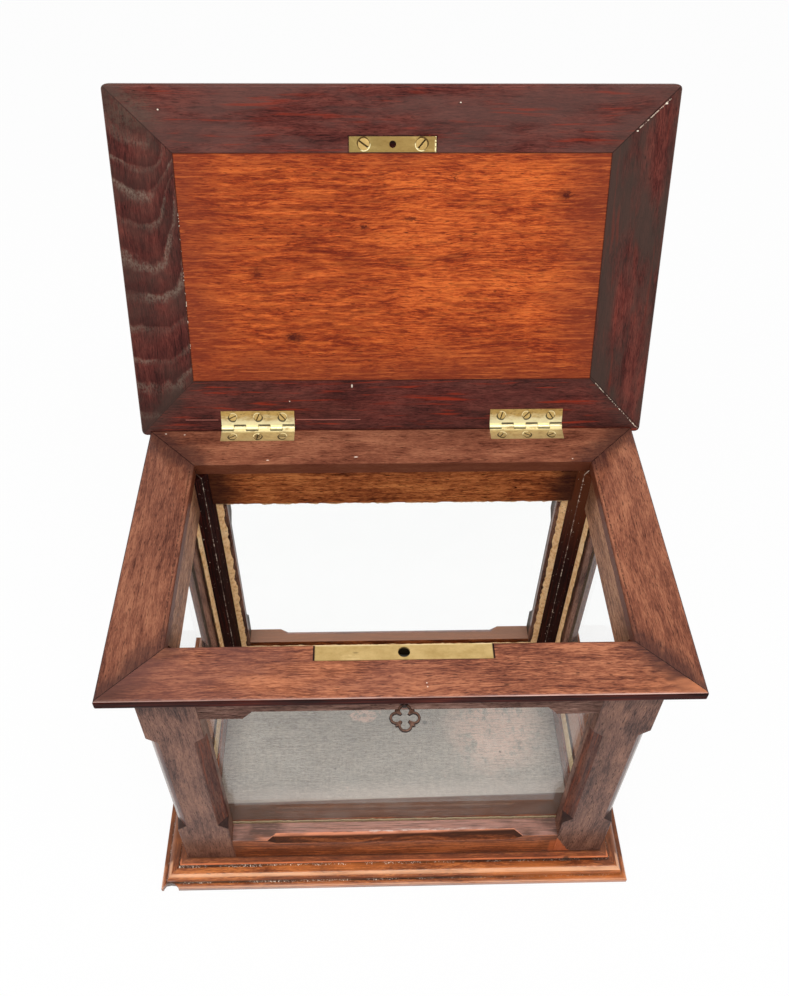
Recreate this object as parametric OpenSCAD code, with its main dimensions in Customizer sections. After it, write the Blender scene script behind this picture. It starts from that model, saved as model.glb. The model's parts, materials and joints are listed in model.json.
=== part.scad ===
// Oak tabletop display cabinet with a hinged, framed lid and four glazed sides.
// The origin is on the table, under the middle of the carcass. +Y points to the hinged back.

/* [Carcass] */
// Width of the carcass over the corner posts
carcass_w = 303; // [220:1:420]
// Depth of the carcass over the corner posts
carcass_d = 182; // [150:1:300]
// Height of the plinth
plinth_h = 13.5; // [12:0.5:20]
// Height of the carcass between the plinth and the top frame
carcass_h = 235; // [180:0.5:320]
// Thickness of the rails
rail_t = 19; // [18:0.5:24]
// Height of the bottom rails
bottom_rail_h = 27.5; // [24:0.5:40]
// Height of the top rails
top_rail_h = 37; // [36:0.5:50]

/* [Posts] */
// Width of each outer face of a post
post_face = 35; // [32:0.5:45]
// Rise of the ridge between a post's two inner facets
ridge_rise = 0.65; // [0.3:0.05:2]
// Height above the table where the stopped chamfers begin
chamfer_low = 62; // [50:1:80]
// Height above the table where the stopped chamfers end
chamfer_high = 190; // [150:1:200]

/* [Stopped chamfers] */
// Leg of the posts' chamfers
chamfer = 6.8; // [4:0.1:8]
// Leg of the top rails' chamfer on their outer face
head_rise = 7.6; // [4:0.1:9]
// Leg of the top rails' chamfer on their underside
head_depth = 6.8; // [4:0.1:8]
// Leg of the bottom rails' chamfer on their outer face
sill_drop = 4.8; // [3:0.1:6]
// Leg of the bottom rails' chamfer on their upper face
sill_depth = 5.5; // [3:0.1:7]
// Length of the sloping stop at each end of a chamfer
stop_run = 6; // [4:0.1:10]
// Distance from a post to the start of a rail's chamfer
stop_inset = 25; // [15:1:40]

/* [Glazing] */
// Thickness of the wood in front of the glass
lip = 13; // [11:0.5:14]
// Width of the rebate that the glass lies in
rebate = 6.5; // [5:0.5:8]
// Thickness of a pane
glass_t = 2; // [1.8:0.1:2.8]
// Width of the putty on a pane
putty_w = 4.5; // [3:0.5:6]
// Thickness of the putty
putty_t = 2; // [1.5:0.1:2.8]
// Gap between a pane and its rebate
glass_gap = 0.2; // [0.1:0.05:0.5]

/* [Joinery] */
// Length of a rail's tenon
tenon_l = 14; // [8:1:20]
// Thickness of a tenon
tenon_t = 5; // [4:0.5:6]
// Shoulder above and below a tenon
tenon_shoulder = 6; // [4:0.5:8]
// Gap all round a tenon
tenon_gap = 0.05; // [0.02:0.01:0.2]

/* [Plinth] */
// Projection of the plinth beyond the carcass
plinth_out = 18.5; // [16.5:0.5:24]
// Projection of the fillet under the posts
fillet_out = 5.2; // [4:0.1:8]
// Drop from the fillet to the top of the ovolo
quirk = 2.2; // [1.2:0.1:3]
// Radius of the plinth's ovolo
ovolo_r = 5; // [4:0.1:6]
// Projection of the ovolo beyond the carcass
ovolo_out = 14.3; // [13.5:0.1:16]
// Height of the plinth's bottom band
band_h = 4.4; // [3:0.1:5]
// Radius of the bottom band's upper arris
band_arris = 1.2; // [0.6:0.1:2]
// Width of the ledge that carries the floor
floor_ledge = 10; // [6:1:16]
// Thickness of the floor board
floor_t = 8; // [5:0.5:10]
// Height of the floor's upper face
floor_top = 17; // [14:0.5:20]
// Gap round the floor board
floor_gap = 0.2; // [0.1:0.1:1]

/* [Top frame] */
// Thickness of the top frame
top_t = 8; // [7:0.5:12]
// Radius of the top frame's outer arrises
top_arris = 2; // [1:0.1:3]
// Overhang of the top frame all round
overhang = 14.5; // [12:0.5:20]
// Step from a rail's inner face to the top frame's inner edge
inner_step = 0.5; // [0.3:0.1:2]

/* [Lid] */
// Angle the lid stands open at
open_angle = 111; // [95:1:112]
// Gap between the closed lid and the case
lid_gap = 0.4; // [0.3:0.05:0.6]
// Thickness of the lid frame
lid_t = 14; // [12:0.5:18]
// Width of a lid frame member
lid_member = 38.3; // [36:0.1:45]
// Projection of the lid over the top frame at the sides
lid_side_out = 6.5; // [2:0.1:8]
// Projection of the lid over the top frame at the front
lid_front_out = 4.6; // [2:0.1:8]
// Distance from the hinge axis to the lid's rear edge
lid_rear_out = 4.5; // [3:0.1:5]
// Thickness of the lid panel
panel_t = 7; // [6:0.5:9]
// Length of the panel's tongue
tongue_l = 5; // [3:0.5:8]
// Thickness of the panel's tongue
tongue_t = 3; // [2:0.5:4]
// Corner radius of the lid in plan
lid_corner_r = 4; // [2:0.5:8]

/* [Hinges] */
// Length of a hinge
hinge_l = 50; // [40:1:60]
// Distance of each hinge's middle from the side of the carcass
hinge_inset = 59.2; // [45:0.1:80]
// Distance from the hinge axis to the case's back edge
axis_out = 1.8; // [1.8:0.05:2.4]
// Width of a leaf from the axis
leaf_w = 12.4; // [11.5:0.1:14]
// Thickness of a leaf
leaf_t = 1.1; // [1:0.05:1.2]
// Radius of the knuckles
knuckle_r = 1.5; // [1.45:0.01:1.55]
// Number of knuckles on one hinge
knuckles = 6; // [4:2:8]
// Gap between neighbouring knuckles
knuckle_gap = 0.3; // [0.1:0.02:0.4]
// Radius of the hinge pin
pin_r = 0.75; // [0.6:0.05:0.9]
// Radial clearance of the pin in the knuckles
pin_gap = 0.05; // [0.02:0.01:0.1]
// Clearance round a knuckle in the wood and in the other leaf
knuckle_clear = 0.25; // [0.2:0.01:0.3]
// Spacing of the screws in a leaf
leaf_screw_pitch = 17; // [12:0.5:20]
// Distance of the screws in a leaf from the axis
leaf_screw_out = 8; // [6:0.1:8.5]
// Radius of the head of a screw in a leaf
leaf_head_r = 2.6; // [2:0.1:2.8]

/* [Lock] */
// Distance of the lock's middle to the right of the cabinet's middle
lock_x = 1.5; // [-10:0.1:10]
// Length of the brass selvedge
selvedge_l = 99.5; // [80:0.5:120]
// Width of the selvedge
selvedge_w = 10; // [8:0.5:12]
// Thickness of the selvedge
selvedge_t = 2; // [1.5:0.1:2.5]
// Radius of the peg hole in the selvedge
peg_hole_r = 3.4; // [2:0.1:4]
// Width of the lock's inner plate
lock_plate_w = 62; // [50:1:80]
// Height of the lock below the case top
lock_h = 32; // [28:0.5:32]
// Thickness of the lock's inner plate
lock_plate_t = 1.6; // [1.2:0.1:2]
// Width of the lock box
lock_box_w = 44; // [36:1:50]
// Wall of the lock box
lock_wall = 1; // [0.8:0.1:1.5]
// Travel of the bolt over the key's whole turn
bolt_travel = 7; // [4:0.5:8]
// Height of the key's axis below the case top
key_drop = 21.5; // [20:0.5:23]

/* [Key] */
// Radius of the key's shank
shank_r = 2.2; // [1.8:0.1:2.6]
// Radius of the drill pin in the key's pipe
drill_pin_r = 1.1; // [0.9:0.05:1.3]
// Radial clearance between the drill pin and the key's pipe
drill_gap = 0.06; // [0.02:0.01:0.1]
// Reach of the key's bit from its axis
bit_reach = 7.2; // [6:0.1:7.6]
// Radius of the outline of one lobe of the bow
lobe_r = 4.1; // [3.5:0.1:5]
// Distance of a lobe's centre from the bow's centre
lobe_out = 4.6; // [4:0.1:6]
// Width of the metal round a lobe
bow_band = 1.6; // [1.2:0.1:2.2]
// Thickness of the bow
bow_t = 1.8; // [1.4:0.1:3.2]
// Depth of the pipe in the end of the key
pipe_depth = 12; // [8:0.5:14]
// Distance from the front rail's face to the bow's near end
bow_stand_off = 6; // [3:0.1:12]

/* [Strike plate and screws] */
// Distance of the strike plate's middle to the right of the cabinet's middle
strike_x = -0.5; // [-10:0.1:10]
// Length of the strike plate
strike_l = 53; // [40:1:70]
// Width of the strike plate
strike_w = 9; // [7:0.5:12]
// Thickness of the strike plate
strike_t = 1.6; // [1.2:0.1:2]
// Radius of the strike plate's middle hole
strike_hole_r = 2.1; // [1.5:0.1:3]
// Distance between the strike plate's screws
strike_screw_pitch = 35; // [25:1:45]

/* [Hidden] */
$fn = 48;

FRONT = 0;
RIGHT = 1;
BACK = 2;
LEFT = 3;
OAK = [0.36, 0.20, 0.14];
PALE_OAK = [0.50, 0.27, 0.14];
MAHOGANY = [0.60, 0.26, 0.10];
PUTTY = [0.80, 0.62, 0.38];
BRASS = [0.80, 0.66, 0.34];
IRON = [0.25, 0.20, 0.17];
STEEL = [0.50, 0.50, 0.50];
GLASS = [0.85, 0.90, 0.88, 0.35];

half_w = carcass_w / 2;
half_d = carcass_d / 2;
carcass_top = plinth_h + carcass_h;
case_top = carcass_top + top_t;
hinge_x = half_w - hinge_inset;
sight_w = carcass_w - 2 * post_face;
sight_d = carcass_d - 2 * post_face;
sill = plinth_h + bottom_rail_h;
head = carcass_top - top_rail_h;

// Depths of a post's rebate wall, of the putty's back and of the ridge between the facets
wall = post_face - rebate;
pane_back = lip + glass_t + putty_t;
ridge = (wall + pane_back) / 2 + ridge_rise;
facet_slope = (wall - ridge) / (ridge - pane_back);

// Plan outlines of the top frame, as [half width, front reach, back reach]
top_outer = [half_w + overhang, half_d + overhang, half_d + overhang];
inner_edge = rail_t + inner_step;
top_inner = [half_w - inner_edge, half_d - inner_edge, half_d - inner_edge];
plinth_outer = [half_w + plinth_out, half_d + plinth_out, half_d + plinth_out];
plinth_depth = rail_t + floor_ledge;
plinth_inner = [half_w - plinth_depth, half_d - plinth_depth, half_d - plinth_depth];

// The hinge axis lies midway between the case top and the closed lid
axis_y = top_outer[2] + axis_out;
axis_z = case_top + lid_gap / 2;
lid_under = case_top + lid_gap;
lid_outer = [top_outer[0] + lid_side_out, top_outer[1] + lid_front_out, axis_y + lid_rear_out];
lid_inner = [lid_outer[0] - lid_member, lid_outer[1] - lid_member, lid_outer[2] - lid_member];
knuckle_pitch = hinge_l / knuckles;

// The lock's selvedge is let into the inner edge of the front top member
lock_y = -top_inner[1];
lock_front = lock_y - selvedge_w;
lock_floor = case_top - lock_h;
lock_box_floor = lock_floor + lock_wall;
lock_box_depth = selvedge_w - lock_plate_t;
plate_face = lock_y - lock_plate_t;
key_z = case_top - key_drop;
key_tip = plate_face - 0.6;
bow_y = -half_d - bow_stand_off - lobe_out - lobe_r;
bit_near = plate_face - 1.6;
bit_w = 4.6;

function corner(r, i) = [(i == 0 || i == 3) ? -r[0] : r[0], i < 2 ? -r[1] : r[2]];

// A wedge of plan between two mitres, run on a little past the outer and inner outlines
module mitre_wedge(side, outer, inner, height) {
    next = (side + 1) % 4;
    extra = 0.15;
    a = corner(outer, side);
    b = corner(outer, next);
    c = corner(inner, next);
    d = corner(inner, side);
    linear_extrude(height)
        polygon([a + extra * (a - d), b + extra * (b - c), c - extra * (b - c), d - extra * (a - d)]);
}

// Lays a section out along one side of a rectangle. The section's x runs outward, its y upward.
module along(side, reach, length) {
    out = side == FRONT ? reach[1] : side == BACK ? reach[2] : reach[0];
    rotate([0, 0, 90 * side - 90])
        translate([out, 0, 0])
            rotate([90, 0, 0])
                linear_extrude(length, center = true)
                    children();
}

module mitred_member(side, outer, inner, z, height) {
    intersection() {
        translate([0, 0, z])
            along(side, outer, 2 * (outer[0] + outer[1]))
                children();
        translate([0, 0, z - 1])
            mitre_wedge(side, outer, inner, height + 2);
    }
}

// Cuts a chamfer with sloping stops from an edge that runs up from the origin.
// The wood lies towards +x and +y, and the legs are measured along those faces.
module stopped_chamfer(length, leg_x, leg_y) {
    depth = leg_x * leg_y / norm([leg_x, leg_y]);
    slope = stop_run / depth;
    over = 1;
    rotate([0, 0, atan2(leg_x, leg_y)])
        rotate([90, 0, 0])
            linear_extrude(2 * (leg_x + leg_y), center = true)
                polygon([[-over, -over * slope], [depth, stop_run],
                    [depth, length - stop_run], [-over, length + over * slope]]);
}

// Section of a post: the lips stand in front of the glass, and two facets meet in a ridge inside
module post_section() {
    polygon([[0, 0], [post_face, 0], [post_face, lip], [wall, lip], [wall, pane_back], [ridge, ridge],
        [pane_back, wall], [lip, wall], [lip, post_face], [0, post_face]]);
}

module mortise(z, height) {
    translate([post_face - tenon_l - tenon_gap, (lip - tenon_t) / 2 - tenon_gap, z - tenon_gap])
        cube([tenon_l + 1, tenon_t + 2 * tenon_gap, height + 2 * tenon_gap]);
}

// A post with its outer corner at the origin
module post() {
    color(OAK)
        difference() {
            linear_extrude(carcass_h)
                post_section();
            for (flip = [0, 1])
                mirror([flip, -flip, 0]) {
                    mortise(tenon_shoulder, bottom_rail_h - 2 * tenon_shoulder);
                    mortise(carcass_h - top_rail_h + tenon_shoulder, top_rail_h - 2 * tenon_shoulder);
                    translate([post_face, 0, chamfer_low - plinth_h])
                        mirror([1, 0, 0])
                            stopped_chamfer(chamfer_high - chamfer_low, chamfer, chamfer);
                }
            translate([0, 0, chamfer_low - plinth_h])
                stopped_chamfer(chamfer_high - chamfer_low, chamfer, chamfer);
        }
}

module post_at(sx, sy) {
    translate([sx * half_w, sy * half_d, plinth_h])
        mirror([sx > 0 ? 1 : 0, 0, 0])
            mirror([0, sy > 0 ? 1 : 0, 0])
                post();
}

// Turns a piece modelled on the front side to another side. The front face is at y = -reach.
module to_side(side) {
    reach = (side == FRONT || side == BACK) ? half_d : half_w;
    rotate([0, 0, 90 * side])
        translate([0, -reach, 0])
            children();
}

function sight(side) = (side == FRONT || side == BACK) ? sight_w : sight_d;
function between_walls(side) = sight(side) + 2 * rebate;

module tenons(side, height) {
    for (s = [-1, 1])
        translate([s * (sight(side) + tenon_l) / 2, lip / 2, height / 2])
            cube([tenon_l + 0.02, tenon_t, height - 2 * tenon_shoulder], center = true);
}

// The part of a rail behind the lip. Its ends are scribed to the posts' inner facets.
module rail_back(side, height) {
    b = between_walls(side) / 2;
    scribe = (rail_t - pane_back) * facet_slope - tenon_gap;
    linear_extrude(height)
        polygon([[-b, lip], [b, lip], [b, pane_back], [b + scribe, rail_t], [-b - scribe, rail_t],
            [-b, pane_back]]);
}

module bottom_rail(side) {
    w = sight(side);
    color(PALE_OAK)
        to_side(side)
            translate([0, 0, plinth_h]) {
                difference() {
                    union() {
                        translate([-w / 2, 0, 0])
                            cube([w, lip, bottom_rail_h]);
                        rail_back(side, bottom_rail_h - rebate);
                    }
                    translate([-w / 2 + stop_inset, 0, bottom_rail_h])
                        rotate([0, 90, 0])
                            stopped_chamfer(w - 2 * stop_inset, sill_drop, sill_depth);
                    plinth_screw_holes(side, -plinth_h);
                }
                tenons(side, bottom_rail_h);
            }
}

module top_rail(side) {
    w = sight(side);
    color(OAK)
        difference() {
            to_side(side)
                translate([0, 0, head]) {
                    difference() {
                        union() {
                            translate([-w / 2, 0, 0])
                                cube([w, lip, top_rail_h]);
                            translate([0, 0, rebate])
                                rail_back(side, top_rail_h - rebate);
                        }
                        translate([w / 2 - stop_inset, 0, 0])
                            rotate([0, -90, 0])
                                stopped_chamfer(w - 2 * stop_inset, head_rise, head_depth);
                    }
                    tenons(side, top_rail_h);
                }
            if (side == FRONT)
                lock_cavity();
        }
}

module glass(side) {
    w = between_walls(side) - 2 * glass_gap;
    h = head + rebate - (sill - rebate) - 2 * glass_gap;
    color(GLASS)
        to_side(side)
            translate([-w / 2, lip, sill - rebate + glass_gap])
                cube([w, glass_t, h]);
}

module putty(side) {
    w = between_walls(side) - 0.04;
    z0 = sill - rebate + 0.02;
    z1 = head + rebate - 0.02;
    color(PUTTY)
        to_side(side)
            translate([0, lip + glass_t, 0])
                difference() {
                    translate([-w / 2, 0, z0])
                        cube([w, putty_t, z1 - z0]);
                    translate([-w / 2 + putty_w, -1, z0 + putty_w])
                        cube([w - 2 * putty_w, putty_t + 2, z1 - z0 - 2 * putty_w]);
                }
}

// Plinth section. x = 0 is the outer edge of the bottom band.
module plinth_section() {
    back = -(plinth_out + plinth_depth);
    ovolo_x = ovolo_out - ovolo_r - plinth_out;
    ovolo_z = plinth_h - quirk - ovolo_r;
    difference() {
        union() {
            translate([back, 0])
                square([fillet_out - plinth_out - back, plinth_h]);
            translate([back, 0])
                square([ovolo_x - back, plinth_h - quirk]);
            translate([ovolo_x, ovolo_z])
                circle(r = ovolo_r);
            translate([back, 0])
                square([ovolo_out - plinth_out - back, ovolo_z]);
            translate([back, 0])
                square([-back, band_h - band_arris]);
            translate([back, 0])
                square([-back - band_arris, band_h]);
            translate([-band_arris, band_h - band_arris])
                circle(r = band_arris);
        }
        translate([back - 1, floor_top - floor_t])
            square([floor_ledge + 1, plinth_h]);
    }
}

module base(side) {
    color(PALE_OAK)
        difference() {
            mitred_member(side, plinth_outer, plinth_inner, 0, plinth_h)
                plinth_section();
            to_side(side)
                plinth_screw_holes(side, 0);
        }
}

screw_shank_r = 1.7;
plinth_head_r = 3.5;
plinth_screw_l = 22;
screw_sink = 0.6;
function plinth_screw_xs(side) = [for (s = [-1, 1]) s * sight(side) * 0.36];

module plinth_screw_holes(side, dz) {
    for (x = plinth_screw_xs(side))
        translate([x, rail_t / 2, dz + screw_sink])
            mirror([0, 0, 1])
                screw_hole(plinth_head_r, screw_shank_r, plinth_screw_l);
}

// A slotted countersunk screw, its head's face at the origin, driven towards -z
module slotted_screw(head_r, shank_r, length, slot_angle) {
    head_t = head_r - shank_r;
    slot_w = head_r * 0.3;
    difference() {
        rotate_extrude()
            polygon([[0, 0], [head_r, 0], [head_r, -0.2], [shank_r, -0.2 - head_t],
                [shank_r, -length + shank_r], [0, -length]]);
        rotate([0, 0, slot_angle])
            translate([-head_r - 1, -slot_w / 2, -head_t * 0.45])
                cube([2 * head_r + 2, slot_w, head_t]);
    }
}

// The hole that a slotted screw fills, with a small gap round it
module screw_hole(head_r, shank_r, length) {
    head_t = head_r - shank_r;
    gap = 0.04;
    rotate_extrude()
        polygon([[0, 1], [head_r + gap, 1], [head_r + gap, -0.2 - gap],
            [shank_r + gap, -0.2 - head_t - gap], [shank_r + gap, -length + shank_r - gap],
            [0, -length - 2 * gap]]);
}

module plinth_screws() {
    color(STEEL)
        for (side = [FRONT, RIGHT, BACK, LEFT])
            to_side(side)
                for (x = plinth_screw_xs(side))
                    translate([x, rail_t / 2, screw_sink])
                        mirror([0, 0, 1])
                            slotted_screw(plinth_head_r, screw_shank_r, plinth_screw_l, 30);
}

module floor_board() {
    inset = rail_t + floor_gap;
    g = floor_gap;
    color(OAK)
        difference() {
            translate([-half_w + inset, -half_d + inset, floor_top - floor_t])
                cube([carcass_w - 2 * inset, carcass_d - 2 * inset, floor_t]);
            for (sx = [0, 1], sy = [0, 1])
                mirror([sx, 0, 0])
                    mirror([0, sy, 0])
                        translate([half_w, half_d, floor_top - floor_t - 1])
                            mirror([1, 0, 0])
                                mirror([0, 1, 0])
                                    linear_extrude(floor_t + 2)
                                        polygon([[0, 0], [wall + g, 0], [wall + g, pane_back + g],
                                            [ridge + g, ridge + g], [pane_back + g, wall + g],
                                            [0, wall + g]]);
        }
}

// Top frame section, its outer arrises rounded except at the back
module top_section(side) {
    w = 2 * overhang + 2 * rail_t;
    if (side == BACK) {
        translate([-w, 0])
            square([w, top_t]);
    }
    else {
        translate([-w, 0])
            square([w - top_arris, top_t]);
        translate([-w, top_arris])
            square([w, top_t - 2 * top_arris]);
        for (z = [top_arris, top_t - top_arris])
            translate([-top_arris, z])
                circle(r = top_arris);
    }
}

module top_frame(side) {
    color(OAK)
        difference() {
            mitred_member(side, top_outer, top_inner, carcass_top, top_t)
                top_section(side);
            translate([-top_inner[0], -top_inner[1], carcass_top - 1])
                cube([2 * top_inner[0], 2 * top_inner[1], top_t + 2]);
            if (side == FRONT) {
                lock_cavity();
                selvedge_recess();
            }
            if (side == BACK)
                case_hinge_recess();
        }
}

// Hinge leaf modelled about its axis, the plate lying towards -y.
// first says which knuckle is the leaf's own, and up turns the plate to the lid's side.
module hinge_leaf(first, up) {
    low = up ? lid_gap / 2 : -lid_gap / 2 - leaf_t;
    color(BRASS)
        difference() {
            union() {
                translate([-hinge_l / 2, -leaf_w, low])
                    cube([hinge_l, leaf_w, leaf_t]);
                for (k = [first:2:knuckles - 1])
                    translate([-hinge_l / 2 + k * knuckle_pitch, 0, 0])
                        rotate([0, 90, 0])
                            cylinder(r = knuckle_r, h = knuckle_pitch);
            }
            for (k = [1 - first:2:knuckles - 1])
                translate([-hinge_l / 2 + k * knuckle_pitch - knuckle_gap / 2, 0, 0])
                    rotate([0, 90, 0])
                        cylinder(r = knuckle_r + knuckle_clear, h = knuckle_pitch + knuckle_gap);
            translate([-hinge_l / 2 - 1, 0, 0])
                rotate([0, 90, 0])
                    cylinder(r = pin_r + pin_gap, h = hinge_l + 2);
            leaf_screws_at()
                translate([0, 0, up ? lid_gap / 2 : -lid_gap / 2])
                    mirror([0, 0, up ? 1 : 0])
                        screw_hole(leaf_head_r, leaf_shank_r, 6);
        }
}

leaf_shank_r = 1.2;
case_screw_l = 6.5;
lid_screw_l = 9;

module leaf_screws_at() {
    for (i = [-1, 0, 1])
        translate([i * leaf_screw_pitch, -leaf_screw_out, 0])
            children();
}

module at_hinge(sx) {
    translate([sx * hinge_x, axis_y, axis_z])
        children();
}

module hinge_pin(sx) {
    color(BRASS)
        at_hinge(sx)
            rotate([0, 90, 0])
                cylinder(r = pin_r, h = hinge_l, center = true);
}

module knuckle_relief() {
    rotate([0, 90, 0])
        cylinder(r = knuckle_r + knuckle_clear, h = hinge_l + 2 * knuckle_clear, center = true);
}

module case_hinge_recess() {
    for (sx = [-1, 1])
        at_hinge(sx) {
            translate([-hinge_l / 2 - 0.05, -leaf_w - 0.05, -lid_gap / 2 - leaf_t])
                cube([hinge_l + 0.1, leaf_w + 3, leaf_t + 1]);
            knuckle_relief();
            leaf_screws_at()
                translate([0, 0, -lid_gap / 2])
                    screw_hole(leaf_head_r, leaf_shank_r, case_screw_l);
        }
}

module lid_hinge_recess() {
    for (sx = [-1, 1])
        at_hinge(sx) {
            translate([-hinge_l / 2 - 0.05, -leaf_w - 0.05, lid_gap / 2 - 1])
                cube([hinge_l + 0.1, leaf_w + 0.05, leaf_t + 1]);
            knuckle_relief();
            leaf_screws_at()
                translate([0, 0, lid_gap / 2])
                    mirror([0, 0, 1])
                        screw_hole(leaf_head_r, leaf_shank_r, lid_screw_l);
        }
}

module case_hinge_screws() {
    color(BRASS)
        for (sx = [-1, 1])
            at_hinge(sx)
                leaf_screws_at()
                    translate([0, 0, -lid_gap / 2])
                        slotted_screw(leaf_head_r, leaf_shank_r, case_screw_l, 20);
}

// Everything on the lid is modelled closed and then swung open about the hinge axis
module lid_pose() {
    translate([0, axis_y, axis_z])
        rotate([-open_angle, 0, 0])
            translate([0, -axis_y, -axis_z])
                children();
}

// Lid section: a small rounded lower edge, a quirk and an ovolo above
module lid_section(side) {
    past = 10;
    w = lid_member + past;
    under_r = 2;
    ovolo = 7;
    difference() {
        union() {
            translate([-w, 0])
                square([w - under_r, lid_t - ovolo]);
            translate([-w, side == BACK ? 0 : under_r])
                square([w, lid_t - ovolo - (side == BACK ? 0 : under_r)]);
            translate([-under_r, under_r])
                circle(r = under_r);
            translate([-w, 0])
                square([w - ovolo - 1, lid_t]);
            translate([-ovolo - 1, lid_t - ovolo])
                circle(r = ovolo);
        }
        translate([-w - 1, (panel_t - tongue_t) / 2])
            square([past + 1 + tongue_l + 0.3, tongue_t]);
    }
}

module lid_plan() {
    w = 2 * lid_outer[0];
    d = lid_outer[1] + lid_outer[2];
    r = lid_corner_r;
    translate([-lid_outer[0], -lid_outer[1], 0]) {
        translate([r, 0, 0])
            square([w - 2 * r, d]);
        translate([0, r, 0])
            square([w, d - 2 * r]);
        for (x = [r, w - r], y = [r, d - r])
            translate([x, y, 0])
                circle(r = r);
    }
}

module lid_frame(side) {
    color(OAK)
        lid_pose()
            difference() {
                intersection() {
                    mitred_member(side, lid_outer, lid_inner, lid_under, lid_t)
                        lid_section(side);
                    translate([0, 0, lid_under - 1])
                        linear_extrude(lid_t + 2)
                            lid_plan();
                }
                lid_opening(0, -1, lid_t + 2);
                if (side == BACK)
                    lid_hinge_recess();
                if (side == FRONT)
                    strike_recess();
            }
}

module lid_opening(grow, z, height) {
    translate([-lid_inner[0] - grow, -lid_inner[1] - grow, lid_under + z])
        cube([2 * (lid_inner[0] + grow), lid_inner[1] + lid_inner[2] + 2 * grow, height]);
}

module lid_panel() {
    color(MAHOGANY)
        lid_pose()
            difference() {
                union() {
                    lid_opening(-0.08, 0, panel_t);
                    lid_opening(tongue_l, (panel_t - tongue_t) / 2 + 0.05, tongue_t - 0.1);
                }
                strike_recess();
            }
}

// The strike plate lies over the lock's peg hole when the lid is closed
strike_y = lock_y - selvedge_w / 2;
strike_head_r = 3.5;
strike_shank_r = 1.8;
strike_screw_l = 10;

module strike_recess() {
    translate([strike_x - strike_l / 2 - 0.05, strike_y - strike_w / 2 - 0.05, lid_under - 1])
        cube([strike_l + 0.1, strike_w + 0.1, strike_t + 1]);
    strike_screws_at()
        screw_hole(strike_head_r, strike_shank_r, strike_screw_l);
    translate([strike_x, strike_y, lid_under - 1])
        cylinder(r = strike_hole_r, h = strike_t + 5);
}

module strike_screws_at() {
    for (s = [-1, 1])
        translate([strike_x + s * strike_screw_pitch / 2, strike_y, lid_under])
            mirror([0, 0, 1])
                children();
}

module strike_plate() {
    color(BRASS)
        lid_pose()
            difference() {
                translate([strike_x - strike_l / 2, strike_y - strike_w / 2, lid_under])
                    cube([strike_l, strike_w, strike_t]);
                strike_screws_at()
                    screw_hole(strike_head_r, strike_shank_r, strike_screw_l);
                translate([strike_x, strike_y, lid_under - 1])
                    cylinder(r = strike_hole_r, h = strike_t + 2);
            }
}

module strike_screws() {
    color(BRASS)
        lid_pose()
            strike_screws_at()
                slotted_screw(strike_head_r, strike_shank_r, strike_screw_l, 55);
}

module lid_leaf(sx) {
    lid_pose()
        at_hinge(sx)
            hinge_leaf(0, true);
}

module lid_hinge_screws() {
    color(BRASS)
        lid_pose()
            for (sx = [-1, 1])
                at_hinge(sx)
                    leaf_screws_at()
                        translate([0, 0, lid_gap / 2])
                            mirror([0, 0, 1])
                                slotted_screw(leaf_head_r, leaf_shank_r, lid_screw_l, 35);
}

keyhole_gap = 0.35;
lock_head_r = 1.8;
lock_shank_r = 1;
lock_screw_l = 8;

// Keyhole: a round hole with the slot for the bit below it
module keyhole(clear, length) {
    rotate([90, 0, 0])
        translate([0, 0, -length / 2]) {
            cylinder(r = shank_r + clear, h = length);
            translate([-1 - clear, -bit_reach - 0.3 - clear, 0])
                cube([2 + 2 * clear, bit_reach, length]);
        }
}

// Room for the lock: its inner plate, its box, its screws and the keyhole through the wood
module lock_cavity() {
    plate_gap = 0.05;
    translate([lock_x - lock_plate_w / 2 - plate_gap, plate_face - plate_gap, lock_floor - plate_gap])
        cube([lock_plate_w + 2 * plate_gap, 4, lock_h]);
    translate([lock_x - lock_box_w / 2 - plate_gap, lock_front - plate_gap, lock_box_floor - plate_gap])
        cube([lock_box_w + 2 * plate_gap, selvedge_w, lock_h]);
    lock_screws_at()
        screw_hole(lock_head_r, lock_shank_r, lock_screw_l);
    translate([lock_x, (lock_front - half_d) / 2, key_z])
        keyhole(keyhole_gap, half_d + lock_front + 2);
}

module selvedge_recess() {
    translate([lock_x - selvedge_l / 2 - 0.05, lock_front - 0.05, case_top - selvedge_t])
        cube([selvedge_l + 0.1, selvedge_w + 1, selvedge_t + 1]);
}

module lock_screws_at() {
    for (sx = [-1, 1], sz = [0, 1])
        translate([lock_x + sx * (lock_plate_w / 2 - 4), lock_y, lock_floor + lock_h * (0.14 + 0.47 * sz)])
            rotate([-90, 0, 0])
                children();
}

module lock_plate() {
    color(BRASS)
        difference() {
            union() {
                translate([lock_x - selvedge_l / 2, lock_front, case_top - selvedge_t])
                    cube([selvedge_l, selvedge_w, selvedge_t]);
                translate([lock_x - lock_plate_w / 2, plate_face, lock_floor])
                    cube([lock_plate_w, lock_plate_t, lock_h]);
            }
            translate([lock_x, lock_front + selvedge_w / 2, case_top - selvedge_t - 1])
                cylinder(r = peg_hole_r, h = selvedge_t + 2);
            lock_screws_at()
                screw_hole(lock_head_r, lock_shank_r, lock_screw_l);
            translate([lock_x, plate_face - 1, key_z])
                rotate([-90, 0, 0])
                    cylinder(r = drill_pin_r, h = lock_plate_t + 2);
        }
}

module lock_screws() {
    color(BRASS)
        lock_screws_at()
            slotted_screw(lock_head_r, lock_shank_r, lock_screw_l, 70);
}

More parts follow.
